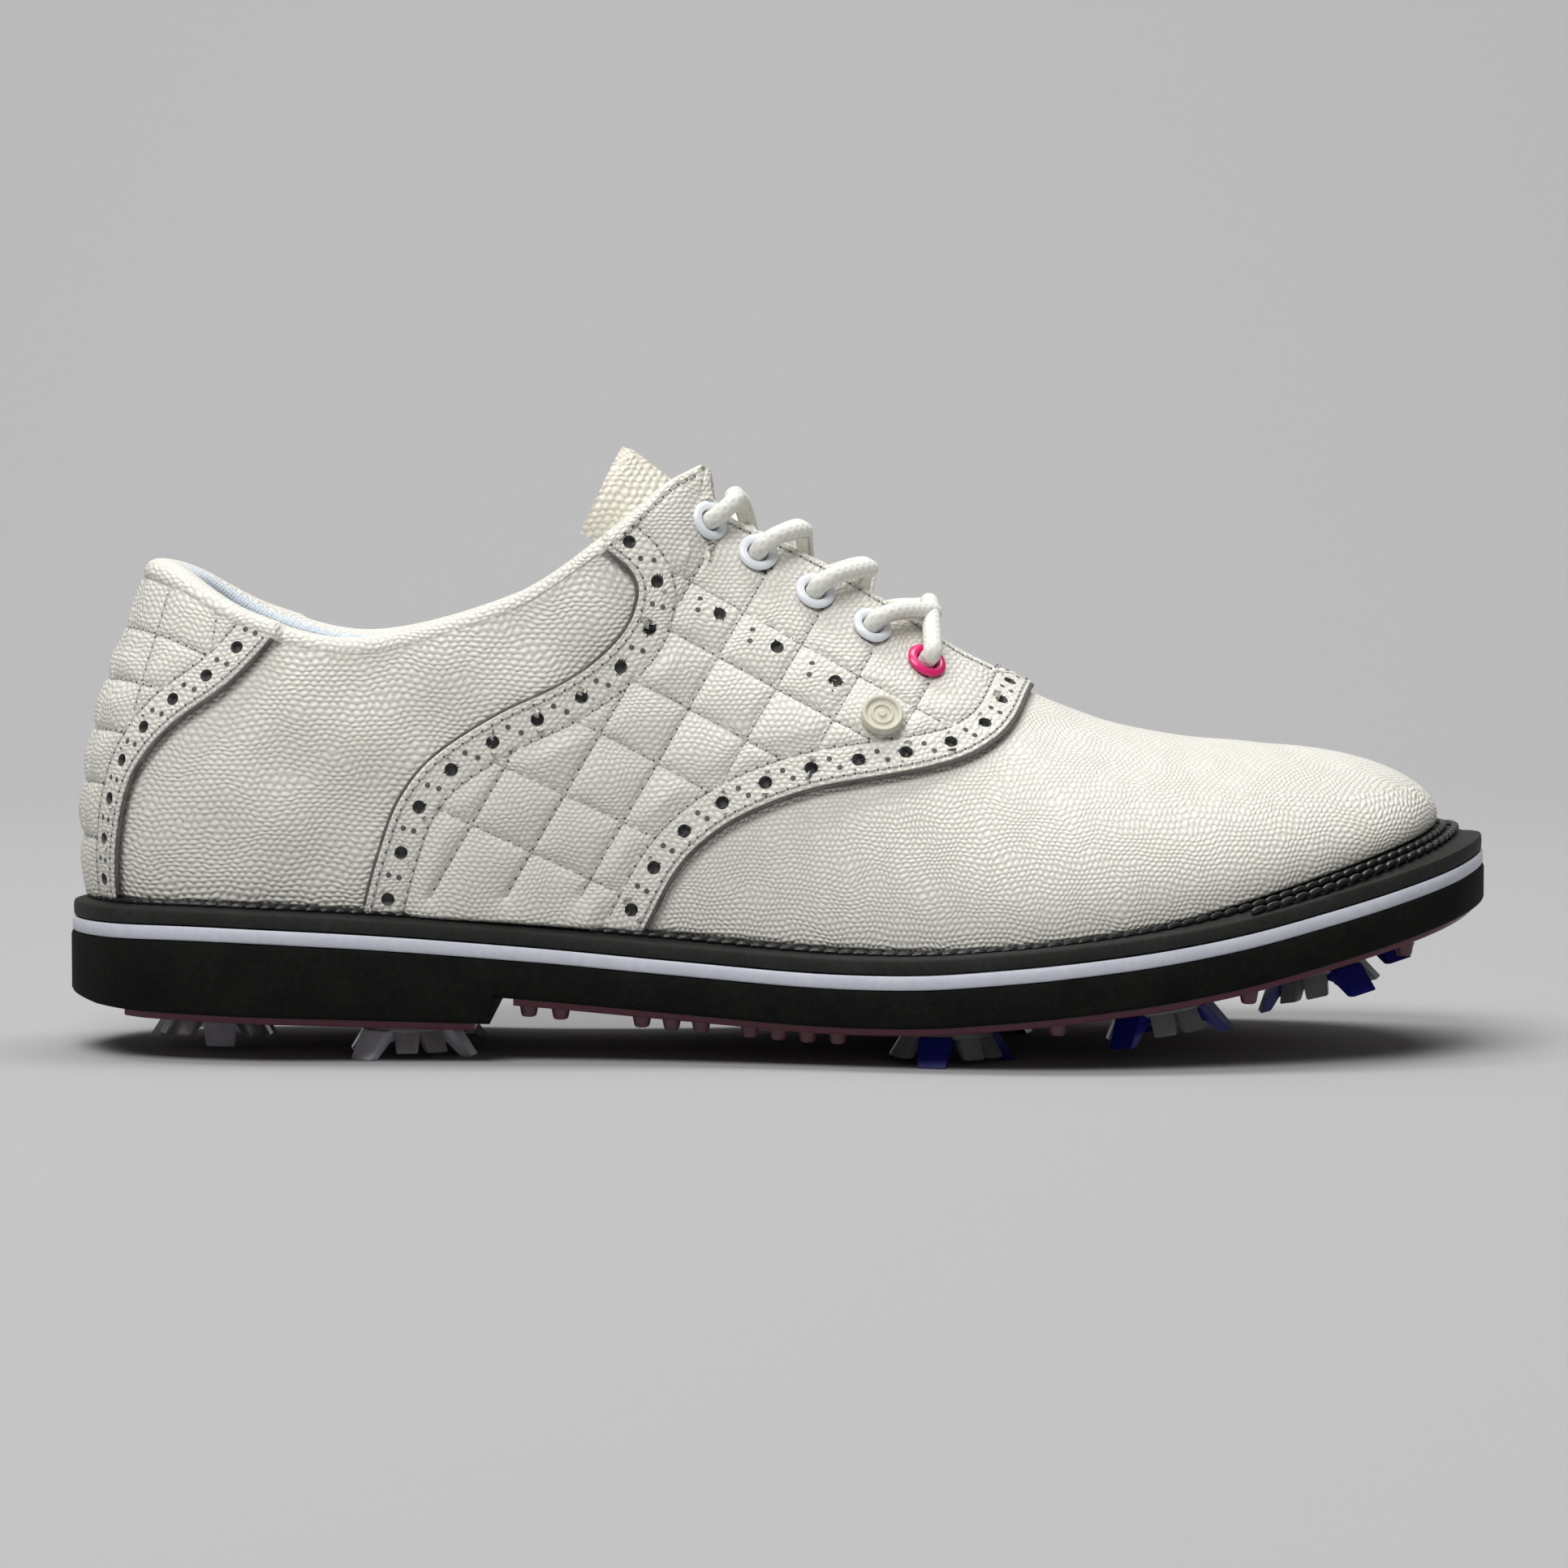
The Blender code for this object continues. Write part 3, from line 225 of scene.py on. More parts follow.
def locate(points):
    """(u, v) on the lateral half for each side-view point (x, z)."""
    us, vs = np.meshgrid(np.linspace(0, TOE, 421), np.linspace(0, 1, 161), indexing="ij")
    grid = last_point(us, vs)[..., [0, 2]]
    found = []
    for point in np.array(points, float):
        near = np.argmin(((grid - point) ** 2).sum(-1))
        uv = np.array([us.flat[near], vs.flat[near]])
        for _ in range(6):
            here = last_point(*uv)[[0, 2]]
            step = 0.002
            slopes = np.column_stack([(last_point(uv[0] + step, uv[1])[[0, 2]] - here) / step,
                                      (last_point(uv[0], uv[1] + step)[[0, 2]] - here) / step])
            uv = uv + 0.7 * np.clip(np.linalg.lstsq(slopes, point - here, rcond=None)[0], -0.1, 0.1)
            uv = np.clip(uv, [0, 0], [TOE, 1])
        found.append(uv)
    return np.array(found)


def rim_v(u):
    """How high the throat's rim lies at row u: where the surface is RIM_HALF from the middle."""
    vs = np.linspace(0.5, 1, 101)
    half = straight_line(RIM_HALF, u)
    y = np.abs(last_point(np.full(101, u), vs)[:, 1])
    return float(np.interp(-half, -y, vs))


def mirrored(path):
    """The same path on the medial side."""
    return [(LOOP - u, v) for u, v in path]


def spaced(path, count):
    """A (u, v) path resampled to count points at even distances on the surface."""
    path = np.array(path, float)
    ends = np.arange(len(path))
    fine = np.linspace(0, len(path) - 1, 40 * len(path))
    fine_path = np.column_stack([np.interp(fine, ends, path[:, k]) for k in (0, 1)])
    run = run_along(last_point(*fine_path.T))
    at = np.linspace(0, run[-1], count)
    return np.column_stack([np.interp(at, run, fine_path[:, k]) for k in (0, 1)])


def patch(bottom, top, left, right, columns, rows):
    """The (u, v) grid of a four-sided patch, blended between its edges."""
    bottom, top = spaced(bottom, columns + 1), spaced(top, columns + 1)
    left, right = spaced(left, rows + 1), spaced(right, rows + 1)
    s = np.linspace(0, 1, columns + 1)[:, None, None]
    t = np.linspace(0, 1, rows + 1)[None, :, None]
    across = (1 - t) * bottom[:, None] + t * top[:, None]
    along = (1 - s) * left[None] + s * right[None]
    corners = ((1 - s) * (1 - t) * bottom[0] + s * (1 - t) * bottom[-1]
               + (1 - s) * t * top[0] + s * t * top[-1])
    return across + along - corners


def level(u_start, u_stop, v=0.0, count=24):
    return [(u, v) for u in np.linspace(u_start, u_stop, count)]




def frame_at(point, axis):
    """A placing matrix in metres, with +Z along axis at point."""
    turned = Vector(axis).normalized().to_track_quat("Z", "Y").to_matrix().to_4x4()
    return Matrix.Translation(Vector(point) * MM) @ turned


def in_mm(matrix):
    made = matrix.copy()
    made.translation = made.translation / MM
    return made


def eyelet_frames():
    """Placing matrices of the eyelets by side, on the saddle's outer face."""
    spots = locate(EYELETS)
    frames = {}
    for side, rows in (("lateral", spots), ("medial", np.array(mirrored(spots)))):
        points = on_last(rows[:, 0], rows[:, 1], OVERLAY[0])
        normals = last_normal(rows[:, 0], rows[:, 1])
        frames[side] = [frame_at(p, n) for p, n in zip(points, normals)]
    return frames


def rim_spot(side, u, offset):
    """A point over (positive offset) or under the throat's rim."""
    row = u if side == "lateral" else LOOP - u
    return on_last(row, rim_v(u) + (0.03 if offset > 0 else 0.04), offset)


def strand(start_side, k, frames):
    """A lace strand from eyelet k, over its rim, under the other rim and up to eyelet k + 1.

    Where two strands cross, the one from the lateral side lies on top.
    """
    other = "medial" if start_side == "lateral" else "lateral"
    spots = locate(EYELETS)
    start, end = in_mm(frames[start_side][k]), in_mm(frames[other][k + 1])
    u_out, u_in = spots[k][0] + 0.3, spots[k + 1][0] - 0.02
    top, under = rim_spot(start_side, u_out, OVERLAY[0] + LACE_R + 0.4), rim_spot(other, u_in, -5.6)
    middle = (Vector(top) + Vector(under)) / 2 + Vector((0, 0, CROSSING[start_side]))
    towards = (Vector(top) - start.translation).normalized()
    return [start @ Vector((0, 0, 1.4)), start @ Vector((0, 0, 3.5)) + towards * 1.4,
            start @ Vector((0, 0, 3.9)) + towards * 5.0, Vector(top), middle, Vector(under),
            end @ Vector((0, 0, -7.3)), end @ Vector((0, 0, -5))]


def bar(frames):
    """The straight bar of lace between the two lowest eyelets, over the throat."""
    a, b = in_mm(frames["lateral"][-1]), in_mm(frames["medial"][-1])
    u = locate(EYELETS)[-1][0] - 0.08
    over_a, over_b = (Vector(rim_spot(s, u, OVERLAY[0] + LACE_R + 0.4)) for s in ("lateral", "medial"))
    lift = Vector((0, 0, 1.5))
    return [a @ Vector((0, 0, 1.4)), a @ Vector((0, 0, 3.7)), over_a, (over_a + over_b) / 2 + lift, over_b,
            b @ Vector((0, 0, 3.7)), b @ Vector((0, 0, 1.4))]


def footbed_top(x, lift):
    return smooth_line(SOLE_LINE, x) + lift + 2.2 + GAP + 4.2


def tail(side, frames):
    """One end of the lace, from inside the top eyelet down the lining and along the footbed."""
    start = in_mm(frames[side][0])
    points = [start @ Vector((0, 0, -5)), start @ Vector((0, 0, -7.3))]
    sign = -1 if side == "lateral" else 1
    for u, v in ((6.6, 0.66), (6.66, 0.52), (6.85, 0.38), (7.15, 0.27)):
        points.append(Vector(on_last(u if sign < 0 else LOOP - u, v, -5.2)))
    for u in (7.6, 8.3, 9.0, 9.7):
        x, *_, lift = smooth_loop(EDGE, u)
        half = abs(smooth_loop(EDGE, u if sign < 0 else LOOP - u)[1]) - 16.5
        points.append(Vector((x, sign * half, footbed_top(x, lift) + LACE_R + 1.3)))
    return points


def rounded(route):
    """The route with points under 1 mm apart left out, and one added halfway along each long stretch."""
    kept = [route[0]]
    for point in route[1:]:
        if (point - kept[-1]).length > 1.0:
            kept.append(point)
    made = kept[:2]
    for before, a, b, after in zip(kept, kept[1:], kept[2:], kept[3:]):
        if (b - a).length > LONG_STRETCH:
            made.append((9 * (a + b) - before - after) / 16)
        made.append(b)
    return made + kept[-1:]


def lace_route(frames):
    """The whole lace: tail, four strands down, the bar, four strands back up, tail."""
    sides = ("lateral", "medial")
    down, back = [], []
    for k in range(len(EYELETS) - 1):
        down.append(strand(sides[k % 2], k, frames))
        back.append(strand(sides[(k + 1) % 2], k, frames)[::-1])
    route = tail("lateral", frames)[::-1]
    for points in down:
        route += points
    route += bar(frames)
    for points in back[::-1]:
        route += points
    return rounded(route + tail("medial", frames))


def inside_edge(extra, insets=0.0):
    """An outline function: the sole's edge drawn in by extra and by so many times the feather's inset."""
    def outline(row):
        e = smooth_loop(EDGE, row)
        return e[:2] - e[2:4] * (extra + insets * e[4])
    return outline



def row_at(x):
    """The lateral row where the sole's edge reaches x."""
    rows = np.linspace(0, TOE, 1501)
    return float(np.interp(x, smooth_loop(EDGE, rows)[:, 0], rows))


def sole_z(x):
    return smooth_line(SOLE_LINE, x)


def midsole_bottom(x):
    return sole_z(x) - MIDSOLE_DROP if x > HEEL_BREAST_X else straight_line(HEEL_BOTTOM, x)


def cleat_frames():
    """Placing matrix of each cleat, on the underside of the outsole plates, with its leg height."""
    reach = {"heel": (-88, -68), "forefoot": (25, 45)}
    heights = {kind: min(map(midsole_bottom, ends)) - GAP - OUTSOLE_T for kind, ends in reach.items()}
    made = {}
    for name, x, y, turn, stands, kind in CLEATS:
        z = heights[kind] if stands else midsole_bottom(x) - GAP - OUTSOLE_T
        slope = 0 if stands else (midsole_bottom(x + 5) - midsole_bottom(x - 5)) / 10
        made[name] = (frame_at((x, y, z), (-slope, 0, 1)), math.radians(turn), kind)
    return made, heights


TOP_FACING = 0.8
END_FACING = 0.82
# Waves per metre and reach in metres of the noise that makes the leather's grain uneven.
UNEVENNESS = ((90.0, 0.0045), (420.0, 0.0009))
BRAID_STRANDS = 6
BRAID_PITCH = 1.9
ROLL_STEPS = 12
COLLAR_END = 6.2
BAND_HOLE = 4.2
BAND_INNER = 7.8
LARGE_R = 1.42
SMALL_R = 0.58
HOLE_DEPTH = 1.5
HOLE_REACH = 1.6
HOLE_DRAW = 0.12
EYELET_OPENING = 3.3
# The quilting: its height, and how far from a seam and from a band it takes to rise to it.
PUFF = 1.15
CROWN_REACH = 6.3
FIELD_REACH = 4.5
# Channels pressed by the seams, and by the rows of stitches along the bands.
SEAM_SINK = 0.4
SEAM_WIDTH = 0.75
ROW_SINK = 0.28
ROW_WIDTH = 0.7
SHORTEST_SEAM = 6.0
STITCH_PITCH = 2.35
THREAD_R = 0.3
NEEDLE_R = 0.27

# Lights in metres and watts: name, place, target, size and power.
SHOE_MIDDLE = (0, 0, 0.05)
LIGHTS = [
    ("key", (-0.4, -1.05, 1.55), SHOE_MIDDLE, (1.2, 0.8), 26),
    ("top", (0.1, 0.4, 1.6), SHOE_MIDDLE, (1.4, 1.0), 4),
    ("front", (0.6, -1.6, 0.5), SHOE_MIDDLE, (1.0, 0.7), 0.8),
    ("backdrop", (0, 0.3, 2.4), (0, 1.9, 0.5), (2.6, 0.8), 56),
]
AMBIENT = 0.12
FLOOR_ALBEDO = 0.40
SWEEP_START = 0.8
SWEEP_R = 1.2
CAMERA_LENS = 118.3
CAMERA_DISTANCE = 1.1
CAMERA_TILT = 3.5
CAMERA_AIM = (0.00113, 0, 0.0559)

# Quilt seams of the saddle in side view: height at x = -20 and slope of the long ones, and x at
# z = 60 of the ones that cross them at 60 degrees.
LONG_SEAMS = [(99.7, -0.568), (87.4, -0.54), (73.7, -0.53), (59.2, -0.54), (44.2, -0.48), (29.5, -0.47)]
CROSS_SEAMS = [-73.2, -57.6, -42.0, -26.4, -10.4, 5.2, 20.8]
CROSS_SLOPE = 1.72

# Quilt seams of the heel cover: v of the level ones, and rows of the upright ones.
HEEL_LEVELS = [0.16, 0.31, 0.46, 0.61, 0.77, 0.93]
HEEL_UPRIGHTS = [-1.62, -0.96, -0.32, 0.32, 0.96, 1.62]

# The tongue that shows: centre line (x, z), fall (down and back) of its edges, and half width.
SOFT_TONGUE = [(66, 63.0, 2.0, 0.5, 19), (52, 67.6, 5.0, 1.0, 22), (38, 75.0, 8.5, 2.0, 22.5),
               (22, 85.4, 10.5, 4.0, 19), (6, 96.3, 11.0, 6.0, 16.5), (-10, 107.3, 13.0, 7.0, 14),
               (-21, 118.5, 15.0, 7.5, 16.5), (-28, 124.2, 17.0, 8.0, 18.5), (-33, 128.0, 18.5, 8.5, 19.5)]


def ease(x):
    x = np.clip(x, 0, 1)
    return x * x * (3 - 2 * x)


def catmull(points, count):
    """A smooth path of count points through the given ones."""
    p = np.array(points, float)
    p = np.vstack([2 * p[0] - p[1], p, 2 * p[-1] - p[-2]])
    at = np.linspace(0, len(p) - 3.000001, count)
    i = at.astype(int)
    f = (at - i)[:, None]
    a, b, c, d = p[i], p[i + 1], p[i + 2], p[i + 3]
    return b + f / 2 * (c - a + f * (2 * a - 5 * b + 4 * c - d + f * (3 * (b - c) + d - a)))


def nearest(points, targets):
    """Distance from each point to the nearest target."""
    tree = KDTree(len(targets))
    for i, target in enumerate(targets):
        tree.insert(target, i)
    tree.balance()
    return np.array([tree.find(p)[2] for p in points])


def shifted_path(path, distance):
    """A (u, v) path moved sideways over the surface: positive to the left of its way, seen from outside."""
    path = np.array(path, float)
    for _ in range(4):
        along = np.gradient(last_point(*path.T), axis=0)
        side = np.cross(last_normal(*path.T), along)
        side *= distance / 4 / np.linalg.norm(side, axis=1)[:, None]
        h = 0.004
        pu = (last_point(path[:, 0] + h, path[:, 1]) - last_point(path[:, 0] - h, path[:, 1])) / (2 * h)
        pv = (last_point(path[:, 0], path[:, 1] + h) - last_point(path[:, 0], path[:, 1] - h)) / (2 * h)
        uu, uv, vv = (pu * pu).sum(1), (pu * pv).sum(1), (pv * pv).sum(1)
        su, sv = (pu * side).sum(1), (pv * side).sum(1)
        det = uu * vv - uv * uv
        path = path + np.stack([(vv * su - uv * sv) / det, (uu * sv - uv * su) / det], 1)
    return path


def cover_share(u):
    """1 where a saddle or the heel cover forms the outer face of the top edge, 0 where the quarter does."""
    u = np.abs(u)
    heel = 1 - ease((u - HEEL_TOP_ROW) / 0.05)
    return np.maximum(heel, ease((u - SADDLE_TOP_ROW) / 0.05))


def roll_drop(u):
    """How far below the top edge its roll begins."""
    return 3.2 - 1.9 * ease((np.abs(u) - 5.2) / 1.0)


def sheet_top(u):
    """v where the sheets end under the roll."""
    v = rim_v(u) if u > RIM_START else 1.0
    length = np.linalg.norm(last_point(u, v) - last_point(u, v - 0.05)) / 0.05
    return v - float(roll_drop(u)) / length


def top_path(count, start, stop):
    return [(u, sheet_top(abs(u))) for u in np.linspace(start, stop, count)]


def quarter_patch(start, columns, rows):
    front = locate(VAMP_REAR)
    front[0, 1] = 0.0
    front[:, 0] -= 0.02
    front[-1] = (RIM_END - 0.01, sheet_top(RIM_END - 0.01))
    top = top_path(90, start, RIM_END - 0.01)
    return patch(level(start, front[0][0]), top, [(start, 0.0), (start, top[0][1])], catmull(front, 80),
                 columns, rows)


def saddle_edges():
    rear, front = locate(SADDLE_REAR), locate(SADDLE_FRONT)
    rear[0, 1] = front[0, 1] = 0.0
    front[-1] = (front[-1][0], 0.992)
    rear[-1] = (rear[-1][0], sheet_top(rear[-1][0]))
    return catmull(rear, 160), catmull(front, 160)


def heel_edge():
    front = locate(HEEL_COVER_FRONT)
    front[0, 1] = 0.0
    front[-1, 1] = sheet_top(front[-1][0])
    return catmull(front, 120)


SADDLE_TOP_ROW = float(locate(SADDLE_REAR)[-1][0])
HEEL_TOP_ROW = float(locate(HEEL_COVER_FRONT)[-1][0])


# ---- meshes ----

def mesh_object(name, points, faces, materials, body="shoe", face_slots=None, uvs=None, sharp=40):
    """A new piece from points in millimetres, riding on its body."""
    mesh = bpy.data.meshes.new(name)
    mesh.from_pydata((np.asarray(points, float) * MM).tolist(), [], [tuple(map(int, f)) for f in faces])
    for made in materials:
        mesh.materials.append(made)
    if face_slots is not None:
        mesh.polygons.foreach_set("material_index", np.asarray(face_slots, np.int32))
    if uvs is not None:
        layer = mesh.uv_layers.new(name="UVMap")
        corners = np.empty(len(mesh.loops), np.int32)
        mesh.loops.foreach_get("vertex_index", corners)
        layer.data.foreach_set("uv", np.asarray(uvs, np.float32)[corners].ravel())
    mesh.update()
    mesh.shade_smooth()
    mesh.set_sharp_from_angle(angle=math.radians(sharp))
    obj = bpy.data.objects.new(name, mesh)
    bpy.context.scene.collection.objects.link(obj)
    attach(obj, body)
    return obj


def finished(piece, slot, *nodes):
    """Hides the CAD nodes that the piece stands for. The slot argument is not used."""
    if nodes:
        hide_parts(*nodes)
    return piece


def sewn(name, parts, materials, slot="white_leather"):
    """One piece from many small parts: stitches, needle holes or a cut edge."""
    points, faces, slots = merged(parts)
    return finished(mesh_object(name, points, faces, materials, face_slots=slots), slot)


def tidy_mesh(obj, weld=0.0005):
    """Welds the piece's doubled points, distances in millimetres, and turns its faces outwards."""
    bm = bmesh.new()
    bm.from_mesh(obj.data)
    bmesh.ops.remove_doubles(bm, verts=bm.verts, dist=weld * MM)
    bmesh.ops.dissolve_degenerate(bm, dist=weld * MM / 2, edges=bm.edges)
    bmesh.ops.recalc_face_normals(bm, faces=bm.faces)
    bm.to_mesh(obj.data)
    bm.free()
    return obj


def grid_quads(columns, rows, around=False, closed_rows=False):
    """Faces of a grid of columns x rows points, numbered column by column."""
    a, j = np.meshgrid(np.arange(columns if around else columns - 1),
                       np.arange(rows if closed_rows else rows - 1), indexing="ij")
    b, k = (a + 1) % columns, (j + 1) % rows
    return np.stack([a * rows + j, b * rows + j, b * rows + k, a * rows + k], -1).reshape(-1, 4)


def thicken(obj, thickness, rim_slot=0):
    modifier = obj.modifiers.new("thickness", "SOLIDIFY")
    modifier.thickness = thickness * MM
    modifier.offset = -1
    modifier.use_even_offset = False
    modifier.material_offset_rim = rim_slot
    return obj


def merged(parts):
    """(points, faces, slots) of several such triples in one."""
    points, faces, slots, start = [], [], [], 0
    for p, f, s in parts:
        points.append(p)
        faces += [tuple(i + start for i in face) for face in f]
        slots += list(s)
        start += len(p)
    return np.vstack(points), faces, slots


def copies(shape, origins, xs, zs, slot=0):
    """One (points, faces) shape placed at each origin, with its X along xs and its Z along zs."""
    points, faces = shape
    ys = np.cross(zs, xs)
    made = (origins[:, None] + points[None, :, :1] * xs[:, None] + points[None, :, 1:2] * ys[:, None]
            + points[None, :, 2:] * zs[:, None])
    count = len(points)
    placed = [tuple(i + n * count for i in f) for n in range(len(origins)) for f in faces]
    return made.reshape(-1, 3), placed, [slot] * len(placed)


def capsule(length, radius, sides=6, sink=0.0):
    """A short thread along X that dips by sink at both ends."""
    along = np.array([-0.5, -0.44, -0.25, 0.0, 0.25, 0.44, 0.5])
    wide = np.array([0.25, 0.75, 0.95, 1.0, 0.95, 0.75, 0.25])
    angle = np.linspace(0, 2 * math.pi, sides, endpoint=False)
    points = [(x * length, radius * w * math.cos(a), radius * w * math.sin(a) - sink * (2 * x) ** 4)
              for x, w in zip(along, wide) for a in angle]
    faces = [tuple(f[::-1]) for f in grid_quads(len(along), sides, closed_rows=True)]
    faces += [tuple(range(sides))[::-1], tuple(range((len(along) - 1) * sides, len(along) * sides))]
    return np.array(points), faces


def dimple(radius, rise, sides=8):
    """A flat disc with a falling edge, for a pricked hole; given the dark hole colour, it is painted shade.
    """
    angle = np.linspace(0, 2 * math.pi, sides, endpoint=False)
    ring = np.stack([np.cos(angle), np.sin(angle)], 1)
    points = np.vstack([np.column_stack([ring * radius, np.full(sides, rise)]),
                        np.column_stack([ring * radius * 1.25, np.full(sides, rise - 0.35)])])
    faces = [tuple(range(sides))]
    faces += [(i, i + sides, (i + 1) % sides + sides, (i + 1) % sides) for i in range(sides)]
    return points, faces


def lathe(profile, steps):
    """(points, faces) of a solid turned about Z from (radius, height) points."""
    rows = len(profile)
    closed = profile[0][0] > 0
    angle = np.linspace(0, 2 * math.pi, steps, endpoint=False)
    points = [(r * math.cos(a), r * math.sin(a), z) for a in angle for r, z in profile]
    return np.array(points), grid_quads(steps, rows, around=True, closed_rows=closed)


def turned(name, profile, matrix, material, steps):
    """A lathe piece, placed by a matrix in millimetres."""
    points, faces = lathe(profile, steps)
    placed = np.array([matrix @ Vector(p) for p in points])
    return tidy_mesh(mesh_object(name, placed, faces, [material]))


def swept(path, radius, sides):
    """(points, faces, uvs) of a closed round tube along a path; v in uv is the length in millimetres."""
    path = np.array(path, float)
    along = unit(np.gradient(path, axis=0))
    side = np.cross(along[0], [0.3, 0.5, 0.8])
    sides_of = []
    for t in along:
        side = side - t * side.dot(t)
        side /= np.linalg.norm(side)
        sides_of.append(side.copy())
    side = np.array(sides_of)
    up = np.cross(along, side)
    angle = np.linspace(0, 2 * math.pi, sides, endpoint=False)
    ring = np.cos(angle)[None, :, None] * side[:, None] + np.sin(angle)[None, :, None] * up[:, None]
    points = (path[:, None] + ring * radius).reshape(-1, 3)
    faces = [tuple(f[::-1]) for f in grid_quads(len(path), sides, closed_rows=True)]
    faces += [tuple(range(sides)), tuple(range((len(path) - 1) * sides, len(path) * sides))[::-1]]
    run = run_along(path)
    uvs = np.stack(np.broadcast_arrays(np.arange(sides)[None] / sides, run[:, None]), -1).reshape(-1, 2)
    return points, faces, uvs


# ---- materials ----

class Shader:
    """A small helper over one material's nodes."""

    def __init__(self, name, color, roughness, **inputs):
        self.material = bpy.data.materials.new(name)
        self.material.use_nodes = True
        self.tree = self.material.node_tree
        self.principled = self.tree.nodes["Principled BSDF"]
        self.set("Base Color", (*color, 1))
        self.set("Roughness", roughness)
        for key, value in inputs.items():
            self.set(key.replace("_", " "), value)

    def set(self, socket, value):
        self.principled.inputs[socket].default_value = value

    def node(self, kind, **values):
        made = self.tree.nodes.new(kind)
        for key, value in values.items():
            if hasattr(made, key):
                setattr(made, key, value)
            else:
                self.feed(made.inputs[key.replace("_", " ")], value)
        return made

    def feed(self, socket, value):
        if isinstance(value, bpy.types.NodeSocket):
            self.tree.links.new(value, socket)
        else:
            socket.default_value = value

    def math(self, operation, a, b=0.0):
        made = self.tree.nodes.new("ShaderNodeMath")
        made.operation = operation
        self.feed(made.inputs[0], a)
        self.feed(made.inputs[1], b)
        return made.outputs[0]

    def vector(self, operation, a, b):
        made = self.tree.nodes.new("ShaderNodeVectorMath")
        made.operation = operation
        self.feed(made.inputs[0], a)
        self.feed(made.inputs["Scale" if operation == "SCALE" else 1], b)
        return made.outputs[0]

    def place(self, source="Object"):
        return self.node("ShaderNodeTexCoord").outputs[source]

    def apart(self, vector):
        return self.node("ShaderNodeSeparateXYZ", Vector=vector).outputs

    def noise(self, scale, detail, output="Fac"):
        made = self.node("ShaderNodeTexNoise", Scale=scale, Detail=detail, Vector=self.place())
        return made.outputs[output]

    def ramp(self, value, stops):
        made = self.node("ShaderNodeValToRGB", Fac=value)
        ramp = made.color_ramp
        ramp.elements[0].position, ramp.elements[1].position = stops[0][0], stops[-1][0]
        ramp.elements[0].color, ramp.elements[1].color = (*stops[0][1], 1), (*stops[-1][1], 1)
        for position, color in stops[1:-1]:
            ramp.elements.new(position).color = (*color, 1)
        return made.outputs["Color"]

    def bump(self, height, distance, strength=1.0, after=None):
        made = self.node("ShaderNodeBump", Height=height, Distance=distance * MM, Strength=strength)
        if after is not None:
            self.feed(made.inputs["Normal"], after)
        return made.outputs[0]

    def connect(self, socket, value):
        self.feed(self.principled.inputs[socket], value)


def facing_plane(made):
    """Object coordinates in the plane that each place faces most: side, top or end."""
    x, y, z = made.apart(made.place())
    normal = made.apart(made.node("ShaderNodeNewGeometry").outputs["Normal"])
    up = made.math("GREATER_THAN", made.math("ABSOLUTE", normal[2]), TOP_FACING)
    end = made.math("GREATER_THAN", made.math("ABSOLUTE", normal[0]), END_FACING)

    def either(first, second, share):
        mix = made.node("ShaderNodeMix", data_type="FLOAT")
        made.feed(mix.inputs[0], share)
        made.feed(mix.inputs[2], first)
        made.feed(mix.inputs[3], second)
        return mix.outputs[0]

    across = either(x, y, made.math("MULTIPLY", end, made.math("SUBTRACT", 1.0, up)))
    return made.node("ShaderNodeCombineXYZ", X=across, Y=either(z, y, up)).outputs[0]


def leather(name, color, pitch, stretch, height, roughness=0.42):
    """Pebbled leather: rows of round domes of the given pitch in millimetres, with painted shade darkening
    the creases between them.
    """
    made = Shader(name, color, roughness, Specular_IOR_Level=0.42)
    plane = facing_plane(made)
    for scale, reach in UNEVENNESS:
        centred = made.vector("SUBTRACT", made.noise(scale, 1.0, "Color"), (0.5, 0.5, 0.5))
        plane = made.vector("ADD", plane, made.vector("SCALE", centred, reach))
    across, upward, _ = made.apart(plane)
    turn = 4 * math.pi / (math.sqrt(3) * pitch * MM)
    total = 1.5
    for angle in (math.pi / 2, math.pi / 6, -math.pi / 6):
        phase = made.math("ADD", made.math("MULTIPLY", across, turn * math.cos(angle) / stretch),
                          made.math("MULTIPLY", upward, turn * math.sin(angle)))
        total = made.math("ADD", made.math("COSINE", phase), total)
    dome = made.math("POWER", made.math("MAXIMUM", made.math("MULTIPLY", total, 1 / 4.5), 0.0), 0.7)
    fine = made.noise(1500.0, 3.0)
    first = made.bump(dome, height)
    made.connect("Normal", made.bump(fine, 0.03, 0.5, first))
    # painted shade: the base colour darkens down the ramp into the creases between the domes, where shade
    # falls
    painted_crease_shade = tuple(c * f for c, f in zip(color, (0.78, 0.77, 0.74)))
    shade = made.ramp(dome, [(0.1, painted_crease_shade), (0.4, tuple(c * 0.94 for c in color)), (0.75, color)])
    tint = made.ramp(made.noise(28.0, 3.0), [(0.3, (0.965, 0.96, 0.945)), (0.7, (1.0, 1.0, 1.0))])
    mixed = made.node("ShaderNodeMix", data_type="RGBA", blend_type="MULTIPLY")
    mixed.inputs[0].default_value = 1.0
    made.feed(mixed.inputs[6], shade)
    made.feed(mixed.inputs[7], tint)
    made.connect("Base Color", mixed.outputs[2])
    rough = made.node("ShaderNodeMapRange", Value=dome)
    rough.inputs["To Min"].default_value = roughness + 0.2
    rough.inputs["To Max"].default_value = roughness - 0.02
    made.connect("Roughness", rough.outputs[0])
    return made.material


def grained(name, color, dark, roughness, scale, height, **inputs):
    """A moulded or cut material with a fine grain and slight mottling."""
    made = Shader(name, color, roughness, **inputs)
    grain = made.noise(scale, 4.0)
    made.connect("Normal", made.bump(grain, height))
    both = made.math("MULTIPLY", grain, made.noise(scale / 9, 3.0))
    made.connect("Base Color", made.ramp(both, [(0.12, dark), (0.4, color)]))
    return made.material


